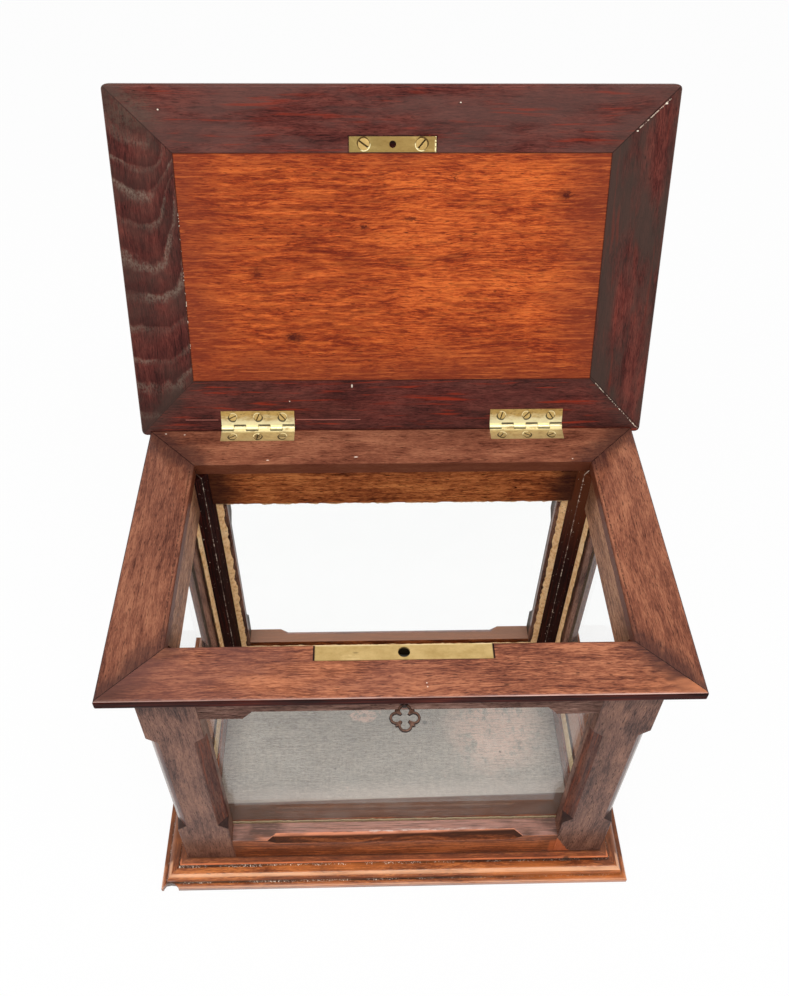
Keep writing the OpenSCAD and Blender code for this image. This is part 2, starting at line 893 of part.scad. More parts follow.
module lock_case() {
    box_top = case_top - selvedge_t;
    color(BRASS)
        difference() {
            translate([lock_x - lock_box_w / 2, lock_front, lock_box_floor])
                cube([lock_box_w, lock_box_depth, box_top - lock_box_floor]);
            translate([lock_x - lock_box_w / 2, lock_front, lock_box_floor])
                translate([lock_wall, lock_wall, lock_wall])
                    cube([lock_box_w - 2 * lock_wall, lock_box_depth, lock_h]);
            translate([lock_x, lock_front, key_z])
                keyhole(keyhole_gap, 4 * lock_wall);
        }
}

module lock_drill_pin() {
    color(STEEL)
        translate([lock_x, lock_y, key_z])
            rotate([90, 0, 0])
                cylinder(r = drill_pin_r, h = pipe_depth);
}

// The bolt slides over the bit. A wide talon notch leaves the bit room to turn.
module lock_bolt() {
    bolt_z = key_z + shank_r + 3.2;
    bolt_h = 9;
    notch_w = 15;
    bolt_l = 26;
    lug_l = 11;
    lug_h = 4;
    nose_x = lock_x - 5.6;
    color(STEEL)
        translate([0, plate_face - 2.4, 0])
            difference() {
                union() {
                    translate([nose_x - 8, 0, bolt_z])
                        cube([bolt_l, 2, bolt_h]);
                    translate([nose_x - lug_l, -2, bolt_z + bolt_h - lug_h])
                        cube([lug_l, 4, lug_h]);
                }
                translate([lock_x - notch_w / 2, -1, bolt_z - 1])
                    cube([notch_w, 4, 4.2]);
            }
}

// Bow outline in plan, its middle at the origin
module bow_outline() {
    difference() {
        union() {
            circle(r = lobe_out);
            for (a = [0:90:270])
                rotate(a) {
                    translate([lobe_out, 0])
                        circle(r = lobe_r);
                    rotate(45)
                        translate([lobe_out + 2.2, 0])
                            circle(r = 0.8);
                }
        }
        for (a = [0:90:270])
            rotate(a)
                translate([lobe_out, 0])
                    circle(r = lobe_r - bow_band);
        circle(r = lobe_out - 2);
    }
    for (a = [45:90:315])
        rotate(a)
            translate([lobe_out - 1.2, 0])
                circle(r = 0.85);
}

// The key lies with its bow flat, as left after a quarter turn
module key() {
    collar_r = shank_r + 0.9;
    color(IRON)
        translate([lock_x, 0, key_z]) {
            translate([0, bow_y, -bow_t / 2])
                linear_extrude(bow_t)
                    bow_outline();
            difference() {
                union() {
                    translate([0, bow_y + lobe_out + lobe_r - bow_band, 0])
                        rotate([-90, 0, 0])
                            cylinder(r = shank_r, h = key_tip - bow_y - lobe_out - lobe_r + bow_band);
                    translate([0, bow_y + lobe_out + lobe_r + 0.4, 0])
                        rotate([-90, 0, 0])
                            cylinder(r = collar_r, h = 1.6);
                    translate([-bit_reach, bit_near - bit_w, -0.9])
                        cube([bit_reach, bit_w, 1.8]);
                }
                translate([0, key_tip + 0.01, 0])
                    rotate([90, 0, 0])
                        cylinder(r = drill_pin_r + drill_gap, h = pipe_depth);
                translate([-bit_reach - 1, bit_near - bit_w / 2 - 0.5, -2])
                    cube([3, 1, 4]);
            }
        }
}

base(FRONT);  // base_front
base(RIGHT);  // base_right
base(BACK);  // base_back
base(LEFT);  // base_left
floor_board();
plinth_screws();
post_at(-1, -1);  // post_front_left
post_at(1, -1);  // post_front_right
post_at(1, 1);  // post_back_right
post_at(-1, 1);  // post_back_left
bottom_rail(FRONT);  // bottom_rail_front
bottom_rail(RIGHT);  // bottom_rail_right
bottom_rail(BACK);  // bottom_rail_back
bottom_rail(LEFT);  // bottom_rail_left
top_rail(FRONT);  // top_rail_front
top_rail(RIGHT);  // top_rail_right
top_rail(BACK);  // top_rail_back
top_rail(LEFT);  // top_rail_left
glass(FRONT);  // glass_front
glass(RIGHT);  // glass_right
glass(BACK);  // glass_back
glass(LEFT);  // glass_left
putty(FRONT);  // putty_front
putty(RIGHT);  // putty_right
putty(BACK);  // putty_back
putty(LEFT);  // putty_left
top_frame(FRONT);  // top_frame_front
top_frame(RIGHT);  // top_frame_right
top_frame(BACK);  // top_frame_back
top_frame(LEFT);  // top_frame_left
lock_plate();
lock_case();
lock_drill_pin();
lock_bolt();
lock_screws();
key();
at_hinge(-1) hinge_leaf(1, false);  // hinge_left_case_leaf
at_hinge(1) hinge_leaf(1, false);  // hinge_right_case_leaf
hinge_pin(-1);  // hinge_left_pin
hinge_pin(1);  // hinge_right_pin
case_hinge_screws();
lid_frame(FRONT);  // lid_frame_front
lid_frame(RIGHT);  // lid_frame_right
lid_frame(BACK);  // lid_frame_back
lid_frame(LEFT);  // lid_frame_left
lid_panel();
strike_plate();
strike_screws();
lid_leaf(-1);  // hinge_left_lid_leaf
lid_leaf(1);  // hinge_right_lid_leaf
lid_hinge_screws();
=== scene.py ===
"""Looks of a tabletop display cabinet: dressed wood, glazing, brass fittings and key, on a pale floor."""
import json
import math
import random

import bmesh
import bpy
from mathutils import Matrix, Vector, noise


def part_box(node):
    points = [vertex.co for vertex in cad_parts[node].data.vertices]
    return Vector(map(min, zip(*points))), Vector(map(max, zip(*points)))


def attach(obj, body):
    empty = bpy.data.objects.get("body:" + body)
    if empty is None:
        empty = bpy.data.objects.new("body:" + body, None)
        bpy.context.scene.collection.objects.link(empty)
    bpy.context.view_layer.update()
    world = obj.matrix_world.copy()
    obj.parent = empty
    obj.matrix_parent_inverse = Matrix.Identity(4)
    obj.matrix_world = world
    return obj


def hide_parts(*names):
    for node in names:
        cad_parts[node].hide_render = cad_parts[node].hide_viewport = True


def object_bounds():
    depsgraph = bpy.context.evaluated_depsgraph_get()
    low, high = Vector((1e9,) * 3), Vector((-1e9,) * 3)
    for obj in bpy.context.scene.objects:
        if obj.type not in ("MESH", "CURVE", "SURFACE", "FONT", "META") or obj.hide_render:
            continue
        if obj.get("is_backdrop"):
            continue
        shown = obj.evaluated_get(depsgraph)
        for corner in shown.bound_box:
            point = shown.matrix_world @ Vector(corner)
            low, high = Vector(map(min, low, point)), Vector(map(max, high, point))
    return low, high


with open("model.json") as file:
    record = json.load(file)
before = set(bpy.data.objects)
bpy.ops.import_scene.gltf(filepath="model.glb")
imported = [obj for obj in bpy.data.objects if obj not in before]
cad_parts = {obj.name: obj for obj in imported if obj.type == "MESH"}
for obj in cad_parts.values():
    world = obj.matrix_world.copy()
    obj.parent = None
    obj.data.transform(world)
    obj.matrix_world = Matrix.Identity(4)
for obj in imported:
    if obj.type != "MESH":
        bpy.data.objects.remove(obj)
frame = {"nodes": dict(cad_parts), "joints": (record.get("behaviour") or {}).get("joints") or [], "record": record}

bl_info = {
    "name": "Tabletop display cabinet",
    "version": (1, 0, 0),
    "blender": (4, 5, 0),
    "location": "View3D > Sidebar > Cabinet",
    "description": "Dresses the packed parts of a glazed tabletop display cabinet",
    "category": "Object",
}

NODES = frame["nodes"]
CAD_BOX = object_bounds()
BODY_OF = {n: b for b, names in frame["record"]["behaviour"]["bodies"].items() for n in names}
LID_JOINT = next(j for j in frame["joints"] if j["name"] == "lid_hinge")
OPEN_ANGLE = math.radians(LID_JOINT["range_deg"][1])
AXIS = Vector(LID_JOINT["pos_m"])
CLOSING = Matrix.Rotation(OPEN_ANGLE, 3, "X")
MM = 0.001


def box_of(points):
    return [tuple(pick(q[i] for q in points) for i in range(3)) for pick in (min, max)]


def low(node):
    return Vector(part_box(node)[0]) / MM


def high(node):
    return Vector(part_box(node)[1]) / MM


def shut(co):
    """A lid place in millimetres, as it is with the lid closed."""
    return (CLOSING @ (co - AXIS) + AXIS) / MM


def closed(node):
    """The box of a lid node, in millimetres, as it is with the lid closed."""
    return box_of([shut(v.co) for v in NODES[node].data.vertices])


# Places in millimetres, read from the frame
TOP_Z = high("top_frame_front").z
TOP_X = high("top_frame_right").x
TOP_Y = high("top_frame_back").y
INNER_X = low("top_frame_right").x
INNER_Y = low("top_frame_back").y
CASE_X = high("post_front_right").x
CASE_Y = high("post_back_right").y
POST = CASE_X - low("post_front_right").x
LID_HALF_X = closed("lid_frame_right")[1][0]
LID_FRONT = -closed("lid_frame_front")[0][1]
LID_BACK = closed("lid_frame_back")[1][1]
LID_UNDER = closed("lid_frame_back")[0][2]
MEMBER = closed("lid_frame_front")[1][1] + LID_FRONT
PANEL_X = LID_HALF_X - MEMBER
PANEL_FRONT = MEMBER - LID_FRONT
PANEL_BACK = LID_BACK - MEMBER
HINGE_Y = AXIS.y / MM
LOCK_X = (low("lock_plate").x + high("lock_plate").x) / 2
LOCK_FRONT, LOCK_BACK = low("lock_plate").y, -INNER_Y
SIDES = ("front", "right", "back", "left")


def srgb(r, g, b):
    """Linear colour of an 8-bit display colour."""
    def lin(v):
        v /= 255
        return v / 12.92 if v <= 0.04045 else ((v + 0.055) / 1.055) ** 2.4
    return (lin(r), lin(g), lin(b), 1.0)


WHITE = (1.0, 1.0, 1.0, 1.0)
WARM = (1.0, 0.62, 0.36, 1.0)
# Colour of painted shade on the brass fittings, and of dirt on the lock.
BRASS_SHADE_AND_DIRT = srgb(46, 32, 14)
PALE_BRASS = srgb(196, 172, 120)


# ---- Shader expressions

class Wire:
    """An output socket. Arithmetic on it adds Math nodes, or Vector Math nodes on a vector."""

    def __init__(self, tree, out, vector=False):
        self.tree = tree
        self.out = out
        self.vector = vector

    def _do(self, op, a, b=None):
        wide = any(isinstance(v, Wire) and v.vector for v in (a, b)) or isinstance(b, tuple)
        kind = "ShaderNodeVectorMath" if wide else "ShaderNodeMath"
        if wide:
            a, b = ((v, v, v) if isinstance(v, (int, float)) else v for v in (a, b))
        return self.tree.add(kind, {"operation": op}, {0: a, 1: b}, vector=wide)

    def __add__(self, o):
        return self._do("ADD", self, o)

    def __radd__(self, o):
        return self._do("ADD", o, self)

    def __sub__(self, o):
        return self._do("SUBTRACT", self, o)

    def __rsub__(self, o):
        return self._do("SUBTRACT", o, self)

    def __mul__(self, o):
        return self._do("MULTIPLY", self, o)

    def __rmul__(self, o):
        return self._do("MULTIPLY", o, self)

    def __pow__(self, o):
        return self._do("POWER", self, o)

    def __abs__(self):
        return self._do("ABSOLUTE", self)

    def fract(self):
        return self._do("FRACT", self)

    def length(self):
        return self.tree.add("ShaderNodeVectorMath", {"operation": "LENGTH"}, {0: self}, "Value")

    def dot(self, o):
        return self.tree.add("ShaderNodeVectorMath", {"operation": "DOT_PRODUCT"}, {0: self, 1: o}, "Value")

    def least(self, o):
        return self._do("MINIMUM", self, o)

    def most(self, o):
        return self._do("MAXIMUM", self, o)

    def step(self, lo, hi, a=0.0, b=1.0):
        """A smooth step from a at lo to b at hi."""
        return self.tree.add("ShaderNodeMapRange", {"interpolation_type": "SMOOTHSTEP"},
                             {"Value": self, "From Min": lo, "From Max": hi, "To Min": a, "To Max": b})

    def fall(self, lo, hi):
        """1 up to lo, falling smoothly to 0 at hi."""
        return self.step(lo, hi, 1.0, 0.0)

    def parts(self):
        n = self.tree.node("ShaderNodeSeparateXYZ", {}, {0: self})
        return [Wire(self.tree, n.outputs[i]) for i in range(3)]


def socket_of(sockets, key):
    """A socket by its identifier, its name or its number."""
    return next((s for s in sockets if s.identifier == key), None) or sockets[key]


class Tree:
    """A node tree, filled through one method: the kind, the settings, then the sockets."""

    def __init__(self, tree):
        self.nodes, self.links = tree.nodes, tree.links
        self.nodes.clear()

    def node(self, kind, settings, sockets):
        n = self.nodes.new(kind)
        for key, value in settings.items():
            if key == "stops":
                self._stops(n.color_ramp, value)
            else:
                setattr(n, key, value)
        for key, value in sockets.items():
            socket = socket_of(n.inputs, key)
            if isinstance(value, Wire):
                self.links.new(value.out, socket)
            elif value is not None:
                socket.default_value = value
        return n

    def _stops(self, ramp, stops):
        while len(ramp.elements) < len(stops):
            ramp.elements.new(0.5)
        for element, (place, colour) in zip(ramp.elements, stops):
            element.position = place
            element.color = colour

    def add(self, kind, settings=None, sockets=None, out=0, vector=False):
        return Wire(self, socket_of(self.node(kind, settings or {}, sockets or {}).outputs, out), vector)

    def vector(self, *parts):
        return self.add("ShaderNodeCombineXYZ", {}, dict(enumerate(parts)), vector=True)

    def mixed(self, share, a, b):
        """Two shaders, mixed."""
        return self.add("ShaderNodeMixShader", {}, {0: share, 1: a, 2: b})


class Finish(Tree):
    """One procedural material. Marks are laid over its colour, in millimetres of the piece's own place p."""

    def __init__(self, name, lid=False, **settings):
        self.mat = bpy.data.materials.new(name)
        self.mat.use_nodes = True
        super().__init__(self.mat.node_tree)
        self.shader = self.node("ShaderNodeBsdfPrincipled", {}, {})
        for socket, value in settings.items():
            self.shader.inputs[socket.replace("_", " ")].default_value = value
        self.end = self.node("ShaderNodeOutputMaterial", {}, {})
        self.show(self.shader.outputs[0])
        self.p = self.add("ShaderNodeTexCoord", out="Object", vector=True) * (1 / MM, 1 / MM, 1 / MM)
        if lid:
            axis = tuple(v / MM for v in AXIS)
            self.p = self.add("ShaderNodeVectorRotate", {"rotation_type": "X_AXIS"},
                              {"Vector": self.p - axis, "Angle": OPEN_ANGLE}, vector=True) + axis
        self.colour = self.rough = self.polish = None

    def show(self, out):
        self.links.new(out, self.end.inputs["Surface"])

    def seal(self, height, strength, distance):
        """Feeds the shader with what was laid, and with a bump."""
        laid = {"Base Color": self.colour, "Roughness": self.rough, "Coat Weight": self.polish}
        for key, value in laid.items():
            if value:
                self.links.new(value.out, self.shader.inputs[key])
        bump = self.node("ShaderNodeBump", {}, {"Height": height, "Strength": strength, "Distance": distance})
        self.links.new(bump.outputs[0], self.shader.inputs["Normal"])
        return self.mat

    def normal(self):
        return self.add("ShaderNodeTexCoord", out="Normal", vector=True).parts()

    def noise(self, stretch, detail=2.0, rough=0.5, at=None, of=None, out="Fac"):
        """Noise that varies stretch times per millimetre, evenly or along each axis."""
        vec = (of or self.p) * (stretch if isinstance(stretch, tuple) else (stretch,) * 3)
        if at is not None:
            vec = vec + at
        sockets = {"Vector": vec, "Scale": 1.0, "Detail": detail, "Roughness": rough}
        return self.add("ShaderNodeTexNoise", {}, sockets, out, out == "Color")

    def tint(self, factor, a, b):
        sockets = {"Factor_Float": factor, "A_Color": a, "B_Color": b}
        return self.add("ShaderNodeMix", {"data_type": "RGBA"}, sockets, out="Result_Color")

    def lay(self, mask, *tone):
        """Lays a tone, an 8-bit colour or a ready one, over the colour where the mask is 1."""
        self.colour = self.tint(mask, self.colour, srgb(*tone) if len(tone) == 3 else tone[0])

    def ramp(self, value, *stops):
        return self.add("ShaderNodeValToRGB", {"stops": stops}, {"Fac": value}, out="Color")

    def spot(self, x, y, rx, ry, soft=0.5, p=None):
        """1 inside an ellipse in plan, fading to 0 at its edge."""
        away = (((p or self.p) - (x, y, 0.0)) * (1 / rx, 1 / ry, 0.0)).length()
        return away.fall(soft, 1.0)

    def stroke(self, a, b, width):
        """1 on a straight stroke in plan from a to b."""
        dx, dy = b[0] - a[0], b[1] - a[1]
        start = self.p - (a[0], a[1], 0.0)
        run = (start.dot((dx, dy, 0.0)) * (1 / (dx * dx + dy * dy))).most(0.0).least(1.0)
        near = self.add("ShaderNodeVectorMath", {"operation": "SCALE"},
                        {0: (dx, dy, 0.0), "Scale": run}, vector=True)
        return ((start - near) * (1.0, 1.0, 0.0)).length().fall(width * 0.4, width)


# ---- Mesh helpers

def new_object(name, maker, material=None):
    """An object whose mesh is what maker puts into a bmesh."""
    bm = bmesh.new()
    maker(bm)
    bm.normal_update()
    mesh = bpy.data.meshes.new(name)
    bm.to_mesh(mesh)
    bm.free()
    if material:
        mesh.materials.append(material)
    obj = bpy.data.objects.new(name, mesh)
    bpy.context.scene.collection.objects.link(obj)
    return obj


def new_piece(name, maker, material, node, smooth=35.0):
    """A piece in place of a CAD node, riding on the node's body."""
    obj = new_object(name, maker, material)
    obj.data.shade_smooth()
    obj.data.set_sharp_from_angle(angle=math.radians(smooth))
    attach(obj, BODY_OF[node])
    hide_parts(node)
    return obj


def soften(obj, width):
    """Rounds the arrises of a piece."""
    mod = obj.modifiers.new("arris", "BEVEL")
    mod.width = width * MM
    mod.segments = 2
    mod.limit_method = "ANGLE"
    mod.angle_limit = math.radians(35)
    mod.harden_normals = True
    mod.use_clamp_overlap = True


def dress(node, material, arris=0.3, reshape=None):
    """The node's own form, its flat faces whole again and its arrises softened."""
    def make(bm):
        bm.from_mesh(NODES[node].data)
        bmesh.ops.remove_doubles(bm, verts=bm.verts, dist=2e-7)
        bmesh.ops.dissolve_limit(bm, angle_limit=math.radians(0.3), verts=bm.verts, edges=bm.edges,
                                 use_dissolve_boundaries=False)
        if reshape:
            reshape(bm)
    obj = new_piece(node + "_dressed", make, material, node)
    if arris:
        soften(obj, arris)
    return obj


# ---- Wood

def wood_figure(t, along, seed, ring, wave, pith, pore):
    """Growth rings, streaks, hairs, fibres, pores and blotches of a board, at random places for each seed."""
    rng = random.Random(seed)
    parts = t.p.parts()
    order = {"x": (0, 1, 2), "y": (1, 0, 2), "z": (2, 0, 1)}[along]
    shifts = [rng.uniform(-900, 900), rng.uniform(-300, 300), rng.uniform(-300, 300)]
    g = t.vector(*(parts[i] + shift for i, shift in zip(order, shifts)))
    bend = t.noise((0.011, 0.025, 0.025), of=g) - 0.5
    ripple = t.noise((0.05, 0.22, 0.22), 3, of=g) - 0.5
    run, across, through = g.parts()
    g = t.vector(run, across + bend * (wave * 0.5) + ripple * 1.2, through)
    y = across + bend * wave + ripple * 2.2 + pith[0]
    z = through + bend * (wave * 0.7) + pith[1]
    rings = ((y * y + z * z) ** 0.5 * (1 / ring)).fract()
    rings = rings.step(0.0, 0.6) * rings.step(0.98, 0.72)
    streaks = t.noise((0.02, 0.26, 0.26), 5, 0.75, of=g)
    hairs = t.noise((0.13, 1.45, 1.45), 3, 0.75, of=g)
    fibres = t.noise((0.35, 3.0, 3.0), 1, 0.6, of=g)
    pores = t.noise((0.22, 1.7, 1.7), 1, at=(31, 7, 3), of=g).step(0.6, 0.7) * (rings * 0.5 + 0.5) * pore
    return rings, streaks, hairs, fibres, pores, t.noise((0.025, 0.07, 0.07), 5, 0.65, of=g)


def wood(name, along, seed, dark, mid, light, ring=4.5, wave=18.0, pith=(0.0, 60.0), pore=1.0,
         ring_share=0.12, streak=0.55, hair=1.25, lid=False, gloss=0.36, coat=0.25, coat_rough=0.14,
         spec=0.12, sheen=WHITE, marks=None):
    """Varnished wood. marks(finish) may lay wear, painted shade and painted highlights over it."""
    t = Finish(name, lid, Coat_Weight=coat, Coat_Roughness=coat_rough, Coat_IOR=1.4, Specular_IOR_Level=spec,
               Specular_Tint=sheen)
    rings, streaks, hairs, fibres, pores, blotch = wood_figure(t, along, seed, ring, wave, pith, pore)
    depth = (0.5 + (rings - 0.35) * ring_share + (streaks - 0.5) * (streak * 1.6)
             + (hairs - 0.5) * (hair * 1.2) + (fibres - 0.5) * 0.6 + (blotch - 0.5) * 1.3)
    t.colour = t.ramp(depth, (0.14, dark), (0.5, mid), (0.88, light))
    t.lay(pores * 0.75, tuple(c * 0.3 for c in dark[:3]) + (1.0,))
    t.rough = fibres * 0.2 + pores * 0.3 + (gloss - 0.1)
    if marks:
        marks(t)
    return t.seal(fibres * 0.3 + hairs * 0.4 + streaks * 0.3 - pores * 0.8, 0.3, 0.15 * MM)


def corner_dirt(t, half_x, half_y, dirt_and_shade, line):
    """Dirt that gathers towards the mitres of a frame, and the dark line of the joint itself."""
    x, y, _ = t.p.parts()
    gap = abs((abs(x) - half_x) - (abs(y) - half_y) + t.noise(0.12, 3) - 0.5)
    veil = (gap + t.noise(0.06, 5, 0.65) * 44.0 - 22.0).fall(0.0, 22.0)
    t.lay(veil * 0.75, dirt_and_shade)
    t.lay(gap.fall(0.175, 0.63) * t.noise(0.2).step(0.3, 0.5, 0.4, 1.0) * 0.8, line)
    t.rough = t.rough + veil * 0.06


def along_side(side):
    return "x" if side in ("front", "back") else "y"


# ---- Settings

def tone(name, text, *rgb):
    """A colour that the user can change."""
    return bpy.props.FloatVectorProperty(name=name, description=text, subtype="COLOR", size=4,
                                         default=srgb(*rgb))


class CabinetWood(bpy.types.PropertyGroup):
    arris: bpy.props.FloatProperty(name="Arris", default=0.45, min=0.1, max=1.2,
                                   description="Radius of the worn arrises of the wood, in millimetres")
    lid_dark: tone("Lid frame, dark", "Dark tone of the lid frame", 40, 14, 13)
    lid_mid: tone("Lid frame", "Middle tone of the lid frame", 84, 38, 33)
    lid_light: tone("Lid frame, light", "Light tone of the lid frame", 112, 58, 49)
    panel_dark: tone("Panel, dark", "Dark tone of the lid panel", 108, 34, 12)
    panel_mid: tone("Panel", "Middle tone of the lid panel", 168, 68, 27)
    panel_light: tone("Panel, light", "Light tone of the lid panel", 212, 104, 46)
    case_dark: tone("Case, dark", "Dark tone of the case", 72, 36, 26)
    case_mid: tone("Case", "Middle tone of the case", 126, 76, 58)
    case_light: tone("Case, light", "Light tone of the case", 160, 106, 80)
    warm_dark: tone("Plinth, dark", "Dark tone of the plinth", 70, 28, 12)
    warm_mid: tone("Plinth", "Middle tone of the plinth", 140, 70, 34)
    warm_light: tone("Plinth, light", "Light tone of the plinth", 204, 122, 66)
    post_dark: tone("Posts, dark", "Dark tone of the posts", 52, 26, 20)
    post_mid: tone("Posts", "Middle tone of the posts", 112, 76, 63)
    post_light: tone("Posts, light", "Light tone of the posts", 146, 104, 84)
    rail_mid: tone("Bottom rails", "Middle tone of the bottom rails", 110, 52, 24)


class CabinetFittings(bpy.types.PropertyGroup):
    brass: tone("Brass", "Colour of the brass fittings", 226, 194, 122)
    tarnish: tone("Tarnish", "Colour of tarnished brass", 190, 160, 98)
    dull: tone("Dull brass", "Colour of the dullest brass", 146, 116, 64)
    iron: tone("Iron", "Colour of the key", 44, 29, 23)
    putty: tone("Putty", "Colour of the glazing putty", 230, 190, 140)
    ragged: bpy.props.FloatProperty(name="Ragged putty", description="How far the putty's edge wanders",
                                    default=0.9 * MM, min=0, max=0.003, unit="LENGTH")
    haze: bpy.props.FloatProperty(name="Dust on the glass", description="Share of a pane that dust hides",
                                  default=0.08, min=0, max=1, subtype="FACTOR")


def looks(context):
    return context.scene.cabinet_wood, context.scene.cabinet_fittings


# ---- Plinth

def plinth_marks(t):
    """Painted shade in the quirk, under the ovolo, on the ovolo's lower part and where the case stands on the
    ledge, darker towards the bottom, painted highlights and sheen on the front, and painted glints along the
    quirk.
    """
    # Colour of the painted shade.
    dirt_and_shade = srgb(36, 14, 8)
    x, y, z = t.p.parts()
    out = (abs(x) - CASE_X).most(abs(y) - CASE_Y)
    cloud = t.noise(0.08, 4)
    quirk = abs(out - 5.6).fall(0.5, 1.2) * z.step(9.0, 10.2) * z.step(13.0, 12.5)
    foot = abs(out - 14.4).fall(0.4, 1.5) * z.step(6.2, 5.0)
    wall = out.step(1.4, 0.2) * z.step(12.5, 13.2)
    ledge = z.step(12.9, 13.3)
    t.lay(ledge * 0.45, 112, 62, 46)
    # Painted shade in the quirk and under the ovolo.
    t.lay(quirk.most(foot) * 0.9, dirt_and_shade)
    # Painted shade where the case stands on the ledge.
    t.lay(wall * 0.7, dirt_and_shade)
    # Darker towards the bottom.
    t.lay(z.step(3.2, 0.4) * 0.5, dirt_and_shade)
    t.lay(cloud.step(0.5, 0.72) * 0.4, 86, 36, 16)
    glow = t.noise((0.012, 0.05, 0.05), 2, at=(4, 8, 2)).step(0.5, 0.7)
    t.lay(glow * (1 - ledge) * 0.5, 222, 128, 62)
    nz = t.normal()[2]
    along = t.noise((0.02, 0.02, 0.3), 4, 0.6).step(0.3, 0.65)
    # Painted highlight on the ovolo, strongest on the front.
    brow = nz.step(0.62, 0.75) * nz.step(0.96, 0.88) * (1 - quirk)
    t.lay(brow * y.step(-CASE_Y, -CASE_Y - 2.0, 0.2, 1.0) * (along * 0.45 + 0.35), 250, 190, 148)
    # Painted sheen on the front's bottom band.
    band = z.step(5.2, 4.4) * z.step(0.6, 1.6) * out.step(16.0, 18.0) * y.step(-CASE_Y, -CASE_Y - 2.0)
    t.lay(band * (along * 0.5 + 0.1), 208, 160, 136)
    # Painted highlight along the fillet's lip, on the front.
    lip = out.step(3.9, 4.7) * z.step(12.3, 12.7) * (1 - quirk) * y.step(-CASE_Y, -CASE_Y - 1.0)
    t.lay(lip * (along * 0.5 + 0.3), 244, 138, 88)
    # Painted shade on the ovolo's lower, downward-facing part.
    t.lay(nz.step(0.35, 0.1) * z.step(6.0, 7.0) * 0.35, 90, 36, 14)
    # Painted glints along the quirk and under the ovolo.
    glint_dots = t.noise(1.1, 2).step(0.56, 0.62) * (quirk + foot).least(1.0)
    gate = x.step(60.0, -40.0, 0.25, 1.0) * y.step(60.0, -60.0, 0.1, 0.9)
    t.lay(glint_dots * cloud.step(0.4, 0.5) * gate, 240, 226, 208)
    broken = t.spot(125.7, -96.3, 3.4, 1.6, 0.3, t.p + cloud * 3.0 - 1.5) * z.step(10.5, 11.5)
    t.lay(broken * 0.8, 52, 40, 34)
    aside = abs(x).step(CASE_X - 2.0, CASE_X + 2.0) * y.step(-CASE_Y - 4.0, -CASE_Y)
    t.lay(aside * 0.55, 84, 42, 26)
    t.rough = t.rough + ledge * 0.1


def chip_corner(obj):
    """Breaks a piece out of the bottom band next to the front left corner."""
    plan = ((-168.8, -113.0), (-168.4, -108.6), (-166.9, -106.6), (-163.5, -105.7), (-160.4, -106.2),
            (-158.2, -107.7), (-156.6, -113.0))
    rng = random.Random(5)

    def shard(bm):
        rings = [[bm.verts.new((Vector((x + rng.uniform(-0.35, 0.35), y + rng.uniform(-0.3, 0.3), z))) * MM)
                  for x, y in plan] for z in (-1.0, 1.2, 2.6, 3.9, 5.2)]
        for lower, upper in zip(rings, rings[1:]):
            for i in range(len(plan)):
                j = (i + 1) % len(plan)
                bm.faces.new((lower[i], lower[j], upper[j], upper[i]))
        bm.faces.new(list(reversed(rings[0])))
        bm.faces.new(rings[-1])
        bmesh.ops.recalc_face_normals(bm, faces=bm.faces)
    tool = new_object("chip", shard)
    mod = obj.modifiers.new("chip", "BOOLEAN")
    mod.operation = "DIFFERENCE"
    mod.object = tool
    mod.solver = "EXACT"
    cut = bpy.data.meshes.new_from_object(obj.evaluated_get(bpy.context.evaluated_depsgraph_get()))
    obj.modifiers.clear()
    obj.data = cut
    cut.shade_smooth()
    cut.set_sharp_from_angle(angle=math.radians(35))
    bpy.data.objects.remove(tool)


class CABINET_OT_plinth(bpy.types.Operator):
    """Four mitred plinth members"""
    bl_idname = "cabinet.plinth"
    bl_label = "Plinth"

    def execute(self, context):
        w, _ = looks(context)
        for i, side in enumerate(SIDES):
            mat = wood("plinth_" + side, along_side(side), 11 + i, w.warm_dark, w.warm_mid, w.warm_light,
                       streak=0.75, coat=0.45, coat_rough=0.12, spec=0.45, gloss=0.34, sheen=WARM,
                       marks=plinth_marks)
            obj = dress("base_" + side, mat, 0)
            if side == "front":
                chip_corner(obj)
            soften(obj, 0.35)
        return {"FINISHED"}


# ---- Posts and rails

def pitted(t, dark, foot):
    """Dark pits and streaks, darker towards the foot."""
    z = t.p.parts()[2]
    cloud = t.noise((0.06, 0.06, 0.03), 4, 0.65)
    pits = t.noise((0.45, 0.45, 0.2), 2).step(0.66, 0.73)
    t.lay(pits * 0.7, dark)
    t.lay(cloud.step(0.45, 0.75) * 0.45, dark)
    t.lay((z + cloud * 30.0 - 15.0).step(60.0, 14.0) * 0.4, foot)
    t.rough = t.rough + cloud * 0.12


